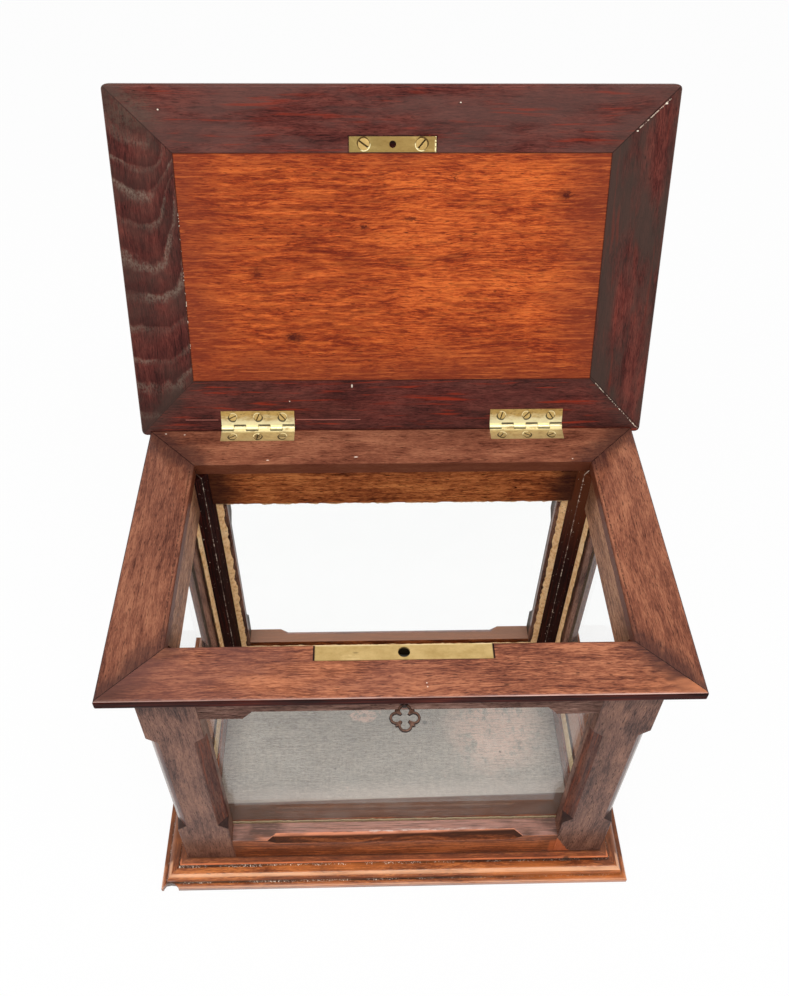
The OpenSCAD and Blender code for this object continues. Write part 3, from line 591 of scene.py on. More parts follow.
def inner_corner(t):
    """The inner facets of a post: dark polish with a painted highlight and painted glints along the ridge, and
    painted shade on the rebate lips. Returns where they are.
    """
    x, y, z = t.p.parts()
    dx, dy = CASE_X - abs(x), CASE_Y - abs(y)
    inside = dx.least(dy).step(15.5, 16.8)
    right = x.step(-1.0, 1.0)
    top = z.step(150.0, 235.0)
    grain = t.noise((1.2, 1.2, 0.03), 3, 0.7)
    facet = t.ramp(grain, (0.3, srgb(10, 2, 2)), (0.55, srgb(34, 7, 5)), (0.78, srgb(84, 26, 13)))
    facet = t.tint(right * top * 0.45, facet, srgb(112, 58, 30))
    t.lay(inside, facet)
    # Painted highlight along the ridge, in dashes, and painted glints.
    ridge = abs(dx - dy + grain * 0.8 - 0.4).fall(0.2, 0.55) * inside
    dashes = t.noise((0.02, 0.02, 0.35), 3, 0.7).step(0.5, 0.62)
    glints = t.noise((1.4, 1.4, 0.5), 2).step(0.72, 0.75) * inside
    t.lay(ridge * 0.35, 120, 98, 88)
    t.lay((ridge * dashes).most(glints) * 0.85, 222, 200, 180)
    nx, ny, _ = map(abs, t.normal())
    # Painted shade on the rebate lips of the back posts, seen through the glass.
    lip = (dy.step(9.5, 8.5) * dx.step(1.0, 2.0) * nx.step(0.7, 0.9)).most(
        dx.step(9.5, 8.5) * dy.step(1.0, 2.0) * ny.step(0.7, 0.9)) * y.step(0.0, 1.0)
    t.lay(lip * 0.85, 52, 44, 34)
    return inside.most(lip)


def worked_faces(t):
    """The chamfers, darker and streaked, with a painted reflection on the outer chamfers and painted shade on the
    stops.
    """
    nx, ny, nz = map(abs, t.normal())
    chamfer = (nx * ny).step(0.25, 0.45)
    stop = nz.step(0.12, 0.3) * nz.step(0.98, 0.9)
    x, y, z = t.p.parts()
    lower = z.step(100.0, 90.0)
    outside = abs(x).step(CASE_X - 4.0, CASE_X - 1.0) * y.step(0.0, -1.0)
    run = t.noise((0.6, 0.6, 0.03), 4, 0.7)
    t.lay(chamfer * 0.6, 66, 24, 15)
    t.lay(chamfer * run.step(0.52, 0.66) * 0.6, 134, 66, 40)
    t.lay(chamfer * run.step(0.45, 0.34) * 0.7, 34, 12, 8)
    # Painted reflection on the upper part of the outer chamfers.
    t.lay(chamfer * outside * z.step(62.0, 70.0) * 0.3, 190, 168, 150)
    # Painted shade on the stops, deeper on the lower ones.
    t.lay(stop * (lower * 0.45 + 0.3), 18, 8, 7)


def post_marks(t):
    """Pits, dark worked faces, and the orange repair at the foot of the front right post."""
    pitted(t, srgb(40, 20, 17), srgb(58, 27, 17))
    worked_faces(t)
    inside = inner_corner(t)
    x, y, z = t.p.parts()
    nx, ny, _ = map(abs, t.normal())
    patch = t.noise(0.25, 3) * 6.0 - 3.0
    mend = (x + z * 0.52 + patch).step(136.0, 134.5) * (z + patch).step(39.0, 37.0) * x.step(90.0, 110.0)
    t.lay(mend * y.step(2.0 - CASE_Y, 1.0 - CASE_Y) * 0.7, 184, 92, 48)
    outer = (nx * ny).step(0.3, 0.45) * abs(x).step(CASE_X - 4.0, CASE_X - 1.0) * y.step(0.0, -1.0)
    t.polish = outer * 0.7 + 0.3 - inside * 0.3


class CABINET_OT_posts(bpy.types.Operator):
    """Four corner posts with stopped chamfers"""
    bl_idname = "cabinet.posts"
    bl_label = "Posts"

    def execute(self, context):
        w, _ = looks(context)
        for i, place in enumerate(("front_left", "front_right", "back_right", "back_left")):
            mat = wood("post_" + place, "z", 31 + i, w.post_dark, w.post_mid, w.post_light,
                       coat_rough=0.22, spec=0.06, gloss=0.4, streak=0.45, hair=1.1, marks=post_marks)
            dress("post_" + place, mat, w.arris)
        return {"FINISHED"}


def rail_marks(side, high_rail):
    """Painted shade at the ends, and on the front bottom rail painted shade on the stops and at the ends of the
    top, painted highlights along the arris and on the middle of the top, and a small orange repair.
    """
    def marks(t):
        x, y, z = t.p.parts()
        run, half = (x, CASE_X - POST) if along_side(side) == "x" else (y, CASE_Y - POST)
        cloud = t.noise((0.05, 0.05, 0.09), 4)
        # Painted shade at the ends, next to the posts.
        ends = (abs(run) + cloud * 26 - 13).step(half - 16, half + 2)
        t.lay(ends * (0.85 if high_rail and side == "back" else 0.5), 46, 20, 13)
        if high_rail:
            return
        nx, _, nz = map(abs, t.normal())
        top = z.step(37.0, 40.9) * nz.step(0.8, 0.95)
        t.lay(top * 0.75, *((172, 132, 120) if side == "front" else (170, 130, 110)))
        if side != "front":
            return
        # Painted shade on the stops.
        stop = nx.step(0.1, 0.3) * abs(x).step(half - 8.0, half - 14.0)
        t.lay(stop * 0.85, 20, 10, 9)
        chamfer = nz.step(0.45, 0.6) * nz.step(0.9, 0.8)
        t.lay(chamfer * (z + cloud * 3.0 - 1.5).step(37.6, 38.8, 0.25, 0.8), 48, 20, 12)
        # Painted shade at the ends of the top.
        t.lay(top * abs(x).step(66.0, 92.0) * cloud.step(0.3, 0.6) * 0.8, 62, 48, 44)
        # Painted highlight along the front arris.
        arris = nz.step(0.76, 0.84) * nz.step(0.995, 0.97)
        t.lay(arris * t.noise((0.035, 0.3, 0.3), 4, 0.6).step(0.3, 0.55, 0.3, 0.85), 232, 148, 112)
        streaks = t.noise((0.05, 1.0, 0.3), 4, 0.7, at=(3, 7, 0))
        t.lay(top * streaks.step(0.5, 0.62) * 0.65, 84, 68, 64)
        t.lay(top * streaks.step(0.46, 0.36) * 0.6, 184, 140, 128)
        # Painted highlight on the middle of the top.
        middle = abs(x - 22.0).step(62.0, 30.0) * top * y.step(-CASE_Y + 8.0, -CASE_Y + 5.0)
        t.lay(middle * t.noise((0.12, 0.9, 0.3), 4, 0.75).step(0.48, 0.58) * 0.85, 224, 206, 196)
        mend = (x + cloud * 5.0).step(114.0, 116.0) * (z + cloud * 6.0).step(38.0, 34.0)
        t.lay(mend * 0.5, 182, 88, 42)
    return marks


class CABINET_OT_rails(bpy.types.Operator):
    """Top and bottom rails"""
    bl_idname = "cabinet.rails"
    bl_label = "Rails"

    def execute(self, context):
        w, _ = looks(context)
        for i, side in enumerate(SIDES):
            mat = wood("bottom_rail_" + side, along_side(side), 51 + i, w.warm_dark, w.rail_mid,
                       srgb(160, 86, 45), ring_share=0.3, streak=0.8, ring=3.4, coat=0.2, spec=0.2,
                       sheen=WARM, marks=rail_marks(side, False))
            dress("bottom_rail_" + side, mat, w.arris)
            tones = {"front": (srgb(62, 38, 32), srgb(122, 88, 76), srgb(162, 126, 112)),
                     "back": (srgb(62, 24, 10), srgb(136, 70, 36), srgb(184, 112, 62))}.get(
                         side, (srgb(84, 50, 34), srgb(150, 100, 70), srgb(194, 146, 110)))
            mat = wood("top_rail_" + side, along_side(side), 61 + i, *tones, pore=1.3, coat=0.0, spec=0.03,
                       hair=1.4, marks=rail_marks(side, True))
            dress("top_rail_" + side, mat, w.arris)
        return {"FINISHED"}


# ---- Top frame and floor

def top_marks(side):
    """Dirt towards the mitres, a dark edge, a painted highlight along the front arris, and small white chips."""
    chips = {"front": ((13.2, -96.6, 0.5, 0.5), (13.5, -99.0, 0.5, 0.5)),
             "back": ((-25.2, 78.4, 1.8, 0.7), (-154.9, 102.4, 0.9, 0.6), (-142.1, 101.4, 0.9, 0.5),
                      (-84.0, 76.0, 1.3, 0.6), (120.0, 75.0, 0.6, 0.6)),
             "left": ((-157.2, 99.4, 1.6, 0.9),), "right": ()}[side]

    def marks(t):
        corner_dirt(t, TOP_X, TOP_Y, srgb(64, 39, 36), srgb(30, 14, 11))
        x, y, z = t.p.parts()
        outer = (abs(x) - TOP_X).most(abs(y) - TOP_Y)
        edge = outer.step(-1.4, -0.3) * (z.step(TOP_Z - 0.3, TOP_Z - 1.1) if side == "front" else 1.0)
        streak = t.noise((0.03, 0.5, 0.5), 3)
        t.lay(edge, t.ramp(streak, (0.35, srgb(30, 7, 5)), (0.6, srgb(66, 22, 15)), (0.8, srgb(104, 44, 30))))
        inner = (abs(x) - INNER_X).most(abs(y) - INNER_Y)
        rim = inner.fall(0.1, 1.2)
        t.lay(rim * 0.6, 52, 24, 18)
        if side in ("left", "right"):
            groove = abs(abs(x) - INNER_X - 3.2 + streak * 1.2).fall(0.25, 0.7)
            t.lay(groove * streak.step(0.35, 0.55) * 0.6, 44, 20, 16)
        sheer = inner.step(0.3, 0.05)
        t.lay(sheer * 0.6, 104, 54, 34)
        weight = 0.3 - (edge + sheer).least(1.0) * 0.3
        if side == "front":
            # Painted highlight along the front arris, broken along its length.
            highlight_strength = t.noise((0.02, 0.3, 0.3), 4, 0.6).step(0.35, 0.6)
            arris = z.step(TOP_Z - 1.15, TOP_Z - 0.75) * outer.step(-0.9, -0.5)
            highlight_strength = highlight_strength * (x + streak * 60.0 - 30.0).step(-60.0, 40.0, 0.45, 0.8)
            t.lay(arris * (highlight_strength + 0.15), 226, 188, 176)
            foot = (low("top_frame_front").z - z).step(-0.9, -0.4)
            t.lay(foot * edge * 0.6, 150, 124, 116)
            ends = abs(abs(x - LOCK_X) - 50.3).fall(0.3, 0.5) * y.step(LOCK_FRONT - 0.3, LOCK_FRONT)
            patch = t.noise((0.012, 0.03, 0.03), 4, 0.6, at=(2, 3, 1))
            flat = 1 - edge
            t.lay(patch.step(0.4, 0.62) * flat * x.step(70.0, -80.0, 0.1, 0.5), 120, 76, 68)
            t.lay(patch.step(0.52, 0.36) * flat * x.step(-60.0, 90.0, 0.15, 0.7), 226, 142, 98)
            smoke = t.spot(-158.0, -104.0, 42.0, 16.0, 0.1, t.p + streak * 24.0 - 12.0)
            t.lay(smoke * flat * 0.6, 78, 48, 42)
            t.lay(ends, 24, 10, 8)
            weight = weight + arris * 0.5
        t.polish = weight
        for chip in chips:
            t.lay(t.spot(*chip, 0.4) * 0.95, 238, 218, 200)
    return marks


class CABINET_OT_top_frame(bpy.types.Operator):
    """The overhanging top frame of the case"""
    bl_idname = "cabinet.top_frame"
    bl_label = "Top frame"

    def execute(self, context):
        w, _ = looks(context)
        warmth = {"front": 0.75, "right": 0.35, "back": 0.25, "left": 0.15}
        for i, side in enumerate(SIDES):
            k = warmth[side]
            tones = [tuple(a + (b - a) * k for a, b in zip(cold, warm)) for cold, warm in
                     ((w.case_dark, srgb(92, 46, 34)), (w.case_mid, srgb(156, 90, 62)),
                      (w.case_light, srgb(204, 130, 92)))]
            mat = wood("top_frame_" + side, along_side(side), 71 + i, *tones, coat_rough=0.14, spec=0.04,
                       streak=0.7 if side == "front" else 0.35, hair=1.8 if side == "front" else 1.0,
                       marks=top_marks(side))
            dress("top_frame_" + side, mat, 0.3)
        return {"FINISHED"}


def dusty_floor(t):
    """Grey film, bare pinkish patches and specks of dust on the floor board."""
    x, y, _ = t.p.parts()
    film = t.noise(0.02, 5, 0.6)
    lines = t.noise((0.05, 0.7, 0.3), 4, 0.9)
    weave = t.noise((0.8, 0.08, 0.3), 3, 0.85, at=(5, 2, 1))
    grey = t.ramp(lines, (0.28, srgb(136, 128, 117)), (0.5, srgb(170, 160, 148)), (0.74, srgb(208, 196, 182)))
    t.lay(film.step(0.25, 0.55, 0.8, 0.95), grey)
    t.lay(weave.step(0.48, 0.66) * 0.4, 200, 190, 176)
    t.lay(weave.step(0.46, 0.34) * 0.3, 118, 108, 98)
    smoke = t.noise((0.022, 0.05, 0.04), 4, 0.7, at=(8, 1, 0)).step(0.5, 0.7)
    t.lay(smoke * x.step(40.0, -30.0) * 0.55, 104, 92, 84)
    ragged = t.noise((0.09, 0.06, 0.1), 6, 0.75, at=(3, 9, 1))
    bare = t.spot(84.0, 12.0, 50.0, 56.0, 0.3, t.p + ragged * 30.0 - 15.0) * ragged.step(0.38, 0.5)
    bare = bare * lines.step(0.4, 0.52, 0.45, 1.0)
    tear = t.noise((0.15, 0.3, 0.2), 5, 0.75, at=(7, 4, 0))
    torn = t.spot(-22.5, 21.5, 12.0, 6.5, 0.8, t.p + tear * 12.0 - 6.0) * tear.step(0.44, 0.48)
    pale = bare.most(torn).most(ragged.step(0.62, 0.72) * 0.6)
    t.lay(pale * 0.75, 252, 210, 189)
    t.lay(lines.step(0.54, 0.66) * 0.45, 202, 194, 180)
    fine = t.noise((0.25, 1.3, 0.3), 2, 0.7, at=(1, 4, 2))
    t.lay(fine.step(0.5, 0.62) * 0.4, 214, 206, 190)
    t.lay(fine.step(0.48, 0.38) * 0.35, 116, 106, 96)
    for stain in ((27.2, 14.4, 3.0, 2.6), (85.5, -12.5, 1.6, 1.6), (-44.7, -24.7, 1.4, 1.4)):
        t.lay(t.spot(*stain, 0.2) * 0.7, 60, 50, 44)
    specks = t.add("ShaderNodeTexVoronoi", {}, {"Vector": t.p * (0.09, 0.09, 0.09), "Scale": 1.0},
                   out="Distance")
    t.lay(specks.fall(0.03, 0.05) * 0.9, 226, 222, 214)
    front = y - x * 0.016 + lines * 0.6
    t.lay(front.step(-32.0, -47.0) * 0.45, 232, 214, 200)
    brown = t.ramp(lines, (0.3, srgb(82, 52, 38)), (0.7, srgb(120, 84, 64)))
    t.lay(front.step(-48.6, -49.8), brown)
    t.rough = t.rough + 0.2


class CABINET_OT_floor_board(bpy.types.Operator):
    """The floor board and the plinth's screws"""
    bl_idname = "cabinet.floor_board"
    bl_label = "Floor board"

    def execute(self, context):
        mat = wood("floor_board", "x", 81, srgb(74, 50, 40), srgb(116, 86, 70), srgb(146, 114, 96),
                   coat=0.0, spec=0.2, marks=dusty_floor)
        dress("floor_board", mat, 0.2)
        dress("plinth_screws", metal("screw_steel", srgb(120, 116, 110), srgb(84, 74, 64), 0.45), 0)
        return {"FINISHED"}


# ---- Lid

def lid_marks(side):
    """Grey bloom, red rubbed places and the broken mitre lines of the lid frame."""
    grey, pale, red = srgb(64, 51, 45), srgb(132, 116, 102), srgb(146, 46, 24)
    chips = {"right": (((138.0, 76.5), (170.4, 109.6)), ((149.0, -85.5), (166.0, -102.0))), "left": (),
             "back": (((138.0, 76.5), (170.4, 109.6)),), "front": (((149.0, -85.5), (170.0, -106.0)),)}[side]
    dots = {"right": ((156.7, 95.7, 0.6, 0.6), (167.1, 106.1, 0.5, 0.5), (148.0, -84.0, 0.8, 0.5),
                      (163.8, -99.5, 1.1, 0.7)),
            "back": ((-27.5, 77.3, 0.7, 1.6), (-103.0, 99.0, 0.6, 0.6), (-70.0, 88.0, 0.5, 0.6)),
            "left": (), "front": ((-140.0, -96.0, 0.7, 0.6), (40.0, -100.0, 0.6, 0.5))}[side]

    def marks(t):
        x, y, z = t.p.parts()
        cloud = t.noise(0.028, 5, 0.65)
        fine = t.noise(0.5, 3, 0.7)
        below = z.step(LID_UNDER + 2.0, LID_UNDER + 1.0)
        if side == "left":
            drift = t.noise(0.02, 3, at=(9, 2, 5))
            ragged = t.noise((0.09, 0.05, 0.05), 5, 0.65)
            striae = t.noise((0.9, 0.5, 0.9), 4, 0.8)
            u = (x + 153.0 + drift * 24.0 - 12.0) * (1 / 17)
            shift = t.noise((0.001, 0.016, 0.01), 2, at=(2, 5, 8)) * 60.0
            steep = y.step(-70.0, 30.0, 17.0, 4.0) * x.step(-162.0, -140.0, 0.4, 1.7)
            arc = y + shift + u * u * steep + ragged * 12.0
            ring = ((arc + 9.0) * (1 / 21)).fract()
            band = ring.step(0.0, 0.1) * ring.step(0.4, 0.12)
            t.lay(cloud.step(0.35, 0.65) * 0.75, 66, 46, 40)
            fade = t.noise((0.03, 0.05, 0.05), 3, at=(1, 6, 3)).step(0.35, 0.62, 0.12, 0.55)
            t.lay(band * striae.step(0.36, 0.6) * fade * (below * 0.8 + 0.2), pale)
            t.lay(ring.step(0.5, 0.95) * (below * 0.3 + 0.1), 48, 20, 18)
        else:
            share = {"right": 0.85, "front": 0.6, "back": 0.2}[side]
            stretch = (0.05, 0.012, 0.03) if side == "right" else (0.012, 0.05, 0.05)
            bloom = t.noise(stretch, 5, 0.6)
            t.lay(bloom.step(0.36, 0.58) * share, srgb(96, 68, 62) if side == "front" else grey)
            run = (0.35, 0.02, 0.3) if side == "right" else (0.02, 0.35, 0.3)
            rub = t.noise(run, 3, 0.6, at=(7, 3, 0)).step(0.55, 0.7)
            t.lay(rub * {"right": 0.15, "front": 0.45, "back": 0.8}[side], red)
        corner = t.spot(-158.0, -96.0, 24.0, 18.0, 0.2, t.p + cloud * 40.0 - 20.0) * fine.step(0.3, 0.6)
        t.lay(corner * 0.45, 92, 80, 68)
        if side == "front":
            lo, hi = closed("strike_plate")
            around = (abs(x - (lo[0] + hi[0]) / 2) - (hi[0] - lo[0]) / 2).most(y * -1.0 + lo[1])
            ragged = around.step(1.1, 0.5) * around.step(-0.2, 0.1) * fine.step(0.35, 0.5)
            t.lay(ragged * below * 0.8, 34, 14, 10)
        gap = abs((abs(x) - LID_HALF_X) - (abs(y) - LID_FRONT))
        if side in ("back", "right", "left"):
            gap = gap.least(abs((abs(x) - LID_HALF_X) - (y - LID_BACK)))
        firm = (x * -1.0 + y * 0.6).step(150.0, 60.0, 0.25, 0.75) if side in ("left", "front") else 0.7
        t.lay(gap.fall(0.2, 0.7) * firm, 26, 12, 10)
        t.lay(gap.fall(1.0, 16.0) * cloud.step(0.4, 0.6) * 0.5, grey)
        for a, b in chips:
            broken = t.noise(0.7, 3, 0.7).step(0.5, 0.56)
            t.lay(t.stroke(a, b, 0.38) * broken * below * 0.85, 226, 206, 184)
        for dot in dots:
            t.lay(t.spot(*dot, 0.4) * below, 240, 226, 206)
        if side == "back":
            for a, b in (((-141.3, 101.0), (-119.5, 101.1)), ((-66.0, 101.2), (-22.3, 101.6))):
                t.lay(t.stroke(a, b, 0.45) * below * 0.55, 196, 120, 104)
        under = (abs(x) - LID_HALF_X + 1.4).most(-1 * y - LID_FRONT + 1.4).step(0.0, 1.2)
        t.lay(under * z.step(LID_UNDER + 2.5, LID_UNDER + 0.5) * 0.3, 110, 66, 48)
        t.rough = t.rough + cloud * 0.1
    return marks


class CABINET_OT_lid_frame(bpy.types.Operator):
    """The lid's mitred frame"""
    bl_idname = "cabinet.lid_frame"
    bl_label = "Lid frame"

    def execute(self, context):
        w, _ = looks(context)
        for i, side in enumerate(SIDES):
            mat = wood("lid_frame_" + side, along_side(side), 91 + i, w.lid_dark, w.lid_mid, w.lid_light,
                       lid=True, coat=0.1, coat_rough=0.2, spec=0.06, hair=1.1, streak=0.45,
                       marks=lid_marks(side))
            dress("lid_frame_" + side, mat, 0.4)
        return {"FINISHED"}


def panel_marks(t):
    """Knots, painted sheen in the middle, rubbed ends and painted glints along the panel's left edge."""
    x, y, _ = t.p.parts()
    cloud = t.noise((0.02, 0.035, 0.03), 4, 0.6)
    rim = ((abs(x) * (1 / 134)).most(abs(y + 7.0) * (1 / 77)) + cloud * 0.5 - 0.25).step(0.62, 1.0)
    t.lay(rim * 0.75, 116, 48, 28)
    ragged = t.noise((0.03, 0.06, 0.05), 3)
    # Painted sheen away from the rim.
    glow = t.noise((0.04, 0.25, 0.1), 5, 0.7).step(0.48, 0.68)
    t.lay(glow * (1 - rim) * 0.4, 224, 116, 50)
    lines = t.noise((0.03, 0.75, 0.3), 3, 0.65, at=ragged * 2.0)
    t.lay(lines.step(0.52, 0.66) * 0.5, 116, 40, 18)
    t.lay(lines.step(0.46, 0.34) * 0.4, 222, 118, 56)
    shade = t.noise((0.03, 0.09, 0.1), 6, 0.7, at=(5, 0, 2)).step(0.5, 0.75)
    t.lay(shade * 0.45, 112, 38, 16)
    loop_x = (x + 64.0 + cloud * 16.0 - 8.0) * (1 / 4.2)
    loop_y = y + cloud * 22.0 - 9.0
    loops = ((loop_x * loop_x + loop_y * loop_y) ** 0.5 * (1 / 6.5) + cloud * 1.5).fract()
    figure = loops.step(0.0, 0.4) * loops.step(1.0, 0.6) * x.step(20.0, -30.0) * (1 - rim)
    t.lay(figure * 0.4, 96, 26, 10)
    wobble = t.add("ShaderNodeTexNoise", {}, {"Vector": t.p * (0.12, 0.2, 0.1), "Detail": 3.0}, "Color", True)
    q = t.p + (wobble - (0.5, 0.5, 0.5)) * (9.0, 4.5, 0.0)
    for deep, *knot in ((0.6, 106.8, -46.7, 9.0, 5.5), (0.95, 108.2, -46.5, 3.4, 3.0),
                        (0.7, -64.5, 43.7, 9.5, 5.4), (0.9, -66.0, 43.5, 4.6, 3.6),
                        (0.9, -18.3, -27.7, 4.4, 2.0), (0.8, 11.7, -32.5, 6.5, 1.8),
                        (0.65, 37.9, -56.9, 2.0, 4.4), (0.6, -87.0, 1.0, 3.8, 6.0),
                        (0.4, -58.0, 18.0, 9.0, 2.2), (0.3, 96.0, 0.0, 3.0, 6.0),
                        (0.3, 30.0, -18.0, 9.0, 1.5)):
        t.lay(t.spot(*knot, 0.15, q) * deep, 70, 18, 8)
    edge = abs(abs(x) - PANEL_X).least(abs(y - PANEL_FRONT)).least(abs(y - PANEL_BACK))
    t.lay(edge.fall(0.3, 1.0) * 0.75, 30, 12, 8)
    # Painted glints along the panel's left edge.
    glint_dots = t.noise(0.7, 2).step(0.6, 0.66)
    left = abs(x + PANEL_X).fall(0.3, 0.9) * y.step(-40.0, -30.0) * y.step(66.0, 52.0)
    t.lay(left * glint_dots, 236, 214, 190)
    t.rough = t.rough + rim * 0.1


class CABINET_OT_lid_panel(bpy.types.Operator):
    """The flush mahogany panel of the lid"""
    bl_idname = "cabinet.lid_panel"
    bl_label = "Lid panel"

    def execute(self, context):
        w, _ = looks(context)
        mat = wood("lid_panel", "x", 101, w.panel_dark, w.panel_mid, w.panel_light, lid=True, wave=26.0,
                   ring=12.0, ring_share=0.15, streak=0.6, hair=2.1, pore=1.0, gloss=0.4, coat=0.15,
                   coat_rough=0.2, spec=0.08, marks=panel_marks)
        dress("lid_panel", mat, 0.12)
        return {"FINISHED"}


# ---- Metal

def metal(name, clean, dull, rough, lid=False, metallic=1.0, marks=None):
    """Brass, iron or steel with tarnish in patches and fine scratches. marks(finish) may lay wear, painted shade
    and painted highlights over it.
    """
    t = Finish(name, lid, Metallic=metallic)
    cloud = t.noise(0.07, 5, 0.65)
    scratch = t.noise((0.3, 3.0, 3.0))
    stain = cloud.step(0.4, 0.68)
    t.colour = clean
    t.lay(stain * 0.6, dull)
    t.lay(t.noise(1.3, 3, 0.7).step(0.56, 0.72) * 0.4, dull)
    t.lay(scratch.step(0.6, 0.72) * 0.3, clean)
    t.rough = stain * 0.15 + scratch * 0.1 + (rough - 0.08)
    if marks:
        marks(t)
    return t.seal(scratch * 0.5 + cloud * 0.5, 0.25, 0.05 * MM)


def screw_places(node, lid):
    """Middles of the screws in a node, in millimetres, on the closed cabinet."""
    bm = bmesh.new()
    bm.from_mesh(NODES[node].data)
    bmesh.ops.remove_doubles(bm, verts=bm.verts, dist=2e-7)
    found, left = [], set(bm.verts)
    while left:
        island, queue = [], [left.pop()]
        while queue:
            v = queue.pop()
            island.append(shut(v.co) if lid else v.co / MM)
            near = {e.other_vert(v) for e in v.link_edges} & left
            left -= near
            queue += near
        found.append(tuple((a + b) / 2 for a, b in zip(*box_of(island))))
    bm.free()
    return sorted(found)


def rings_round(t, places, radius, dirt_and_shade, up=1):
    """Painted shade in the gap round each screw head, thick on one side, and a painted highlight on the other."""
    ring = crescent = None
    for i, (x, y, _) in enumerate(places):
        d = (t.p - (x, y, 0.0)) * (1.0, 1.0, 0.0)
        dx, dy, _ = d.parts()
        away = abs(d.length() - radius)
        lean = (dx * (0.6 if i % 2 else -0.5) + dy * (-0.8 * up)) * (1 / radius)
        dark = (away - lean.step(0.0, 1.0, 0.0, 0.75)).fall(0.15, 0.45)
        light = away.fall(0.3, 0.7) * lean.step(-0.3, -0.7)
        ring = ring.most(dark) if ring else dark
        crescent = crescent.most(light) if crescent else light
    # Painted shade in the gaps, and a painted highlight on one side.
    t.lay(ring * 0.85, dirt_and_shade)
    t.lay(crescent * 0.95, 255, 244, 196)
    t.rough = t.rough + ring * 0.4


def knuckle_gaps(x, y, node, lid):
    """Painted shade in the line between a leaf and the other leaf's knuckles."""
    start, pitch = low(node).x, (high(node).x - low(node).x) / 3
    turn = ((x - start) * (1 / pitch) + (0.5 if lid else 0.0)).fract()
    line = HINGE_Y - 2.1
    return turn.fall(0.48, 0.51) * abs(y - line).fall(0.35, 0.75) * 0.9


def case_leaf_marks(t, node, places):
    """The case leaf is duller, with a painted highlight along its knuckles, and speckled."""
    x, y, z = t.p.parts()
    cloud = t.noise((0.14, 0.3, 0.3), 4, 0.7)
    t.lay(cloud.step(0.45, 0.7) * 0.6, 150, 118, 70)
    # Painted highlight along the knuckles.
    rim = y.step(HINGE_Y - 4.6, HINGE_Y - 2.6) * z.step(TOP_Z - 0.6, TOP_Z - 0.2)
    t.lay(rim * cloud.step(0.3, 0.5) * 0.8, 255, 244, 196)
    t.lay(knuckle_gaps(x, y, node, False), BRASS_SHADE_AND_DIRT)
    rings_round(t, places, LEAF_HEAD, BRASS_SHADE_AND_DIRT)


def lid_leaf_marks(t, node, places):
    """The lid leaf has a painted highlight towards its knuckles, and spots along the far edge."""
    x, y, _ = t.p.parts()
    far = closed(node)[0][1]
    # Painted highlight, brighter towards the knuckles.
    share = (y - far) * (1 / (HINGE_Y - far)) + t.noise((0.12, 0.3, 0.3), 4, 0.7) * 0.9 - 0.45
    t.lay(share.step(0.2, 0.75) * 0.9, 255, 246, 196)
    spots = t.noise((0.35, 0.9, 0.9), 4, 0.7).step(0.54, 0.66) * share.step(0.7, 0.2)
    t.lay(spots * 0.6, 112, 80, 34)
    t.lay(knuckle_gaps(x, y, node, True), BRASS_SHADE_AND_DIRT)
    rings_round(t, places, LEAF_HEAD, BRASS_SHADE_AND_DIRT, up=-1)


def slot_shade(t, lid):
    """Painted shade in the slots of the screws, below the heads' faces."""
    z = t.p.parts()[2]
    face, into = (LID_UNDER, 1) if lid else (TOP_Z, -1)
    mask = ((z - face) * into).step(0.12, 0.35)
    t.lay(mask * 0.85, BRASS_SHADE_AND_DIRT)
    t.rough = t.rough + mask * 0.4


def turned_screws(node, lid, angles):
    """Turns each screw's slot to its own angle."""
    places = screw_places(node, lid)

    def reshape(bm):
        for v in bm.verts:
            q = shut(v.co) if lid else v.co / MM
            i = min(range(len(places)), key=lambda k: (q.x - places[k][0]) ** 2 + (q.y - places[k][1]) ** 2)
            c = Vector((places[i][0], places[i][1], q.z))
            q = Matrix.Rotation(math.radians(angles[i]), 3, "Z") @ (q - c) + c
            v.co = CLOSING.inverted() @ (q * MM - AXIS) + AXIS if lid else q * MM
    return reshape


# ---- Glass and putty

class CABINET_OT_glass(bpy.types.Operator):
    """Four panes of window glass with a little dust"""
    bl_idname = "cabinet.glass"
    bl_label = "Glass"

    def execute(self, context):
        _, f = looks(context)
        for i, side in enumerate(SIDES):
            front = side == "front"
            t = Finish("pane_" + side, Base_Color=srgb(206, 204, 198), Roughness=0.5)
            dust = t.noise(0.05, 5, 0.7, at=(i * 31.0, i * 17.0, 5.0))
            clear = t.add("ShaderNodeBsdfTransparent", {}, {0: (0.997, 1.0, 0.997, 1)})
            gloss = t.add("ShaderNodeBsdfGlossy", {}, {"Roughness": 0.02})
            grazing = t.add("ShaderNodeLayerWeight", {}, {"Blend": 0.5}, "Facing")
            slant, straight = (0.93, 0.07) if front else (0.2, 0.004)
            pane = t.mixed(grazing ** 6.0 * slant + straight, clear, gloss)
            share = f.haze if front else f.haze * 0.1
            t.show(t.mixed(dust.step(0.3, 0.8) * share, pane, Wire(t, t.shader.outputs[0])).out)
            dress("glass_" + side, t.mat, 0)
        return {"FINISHED"}


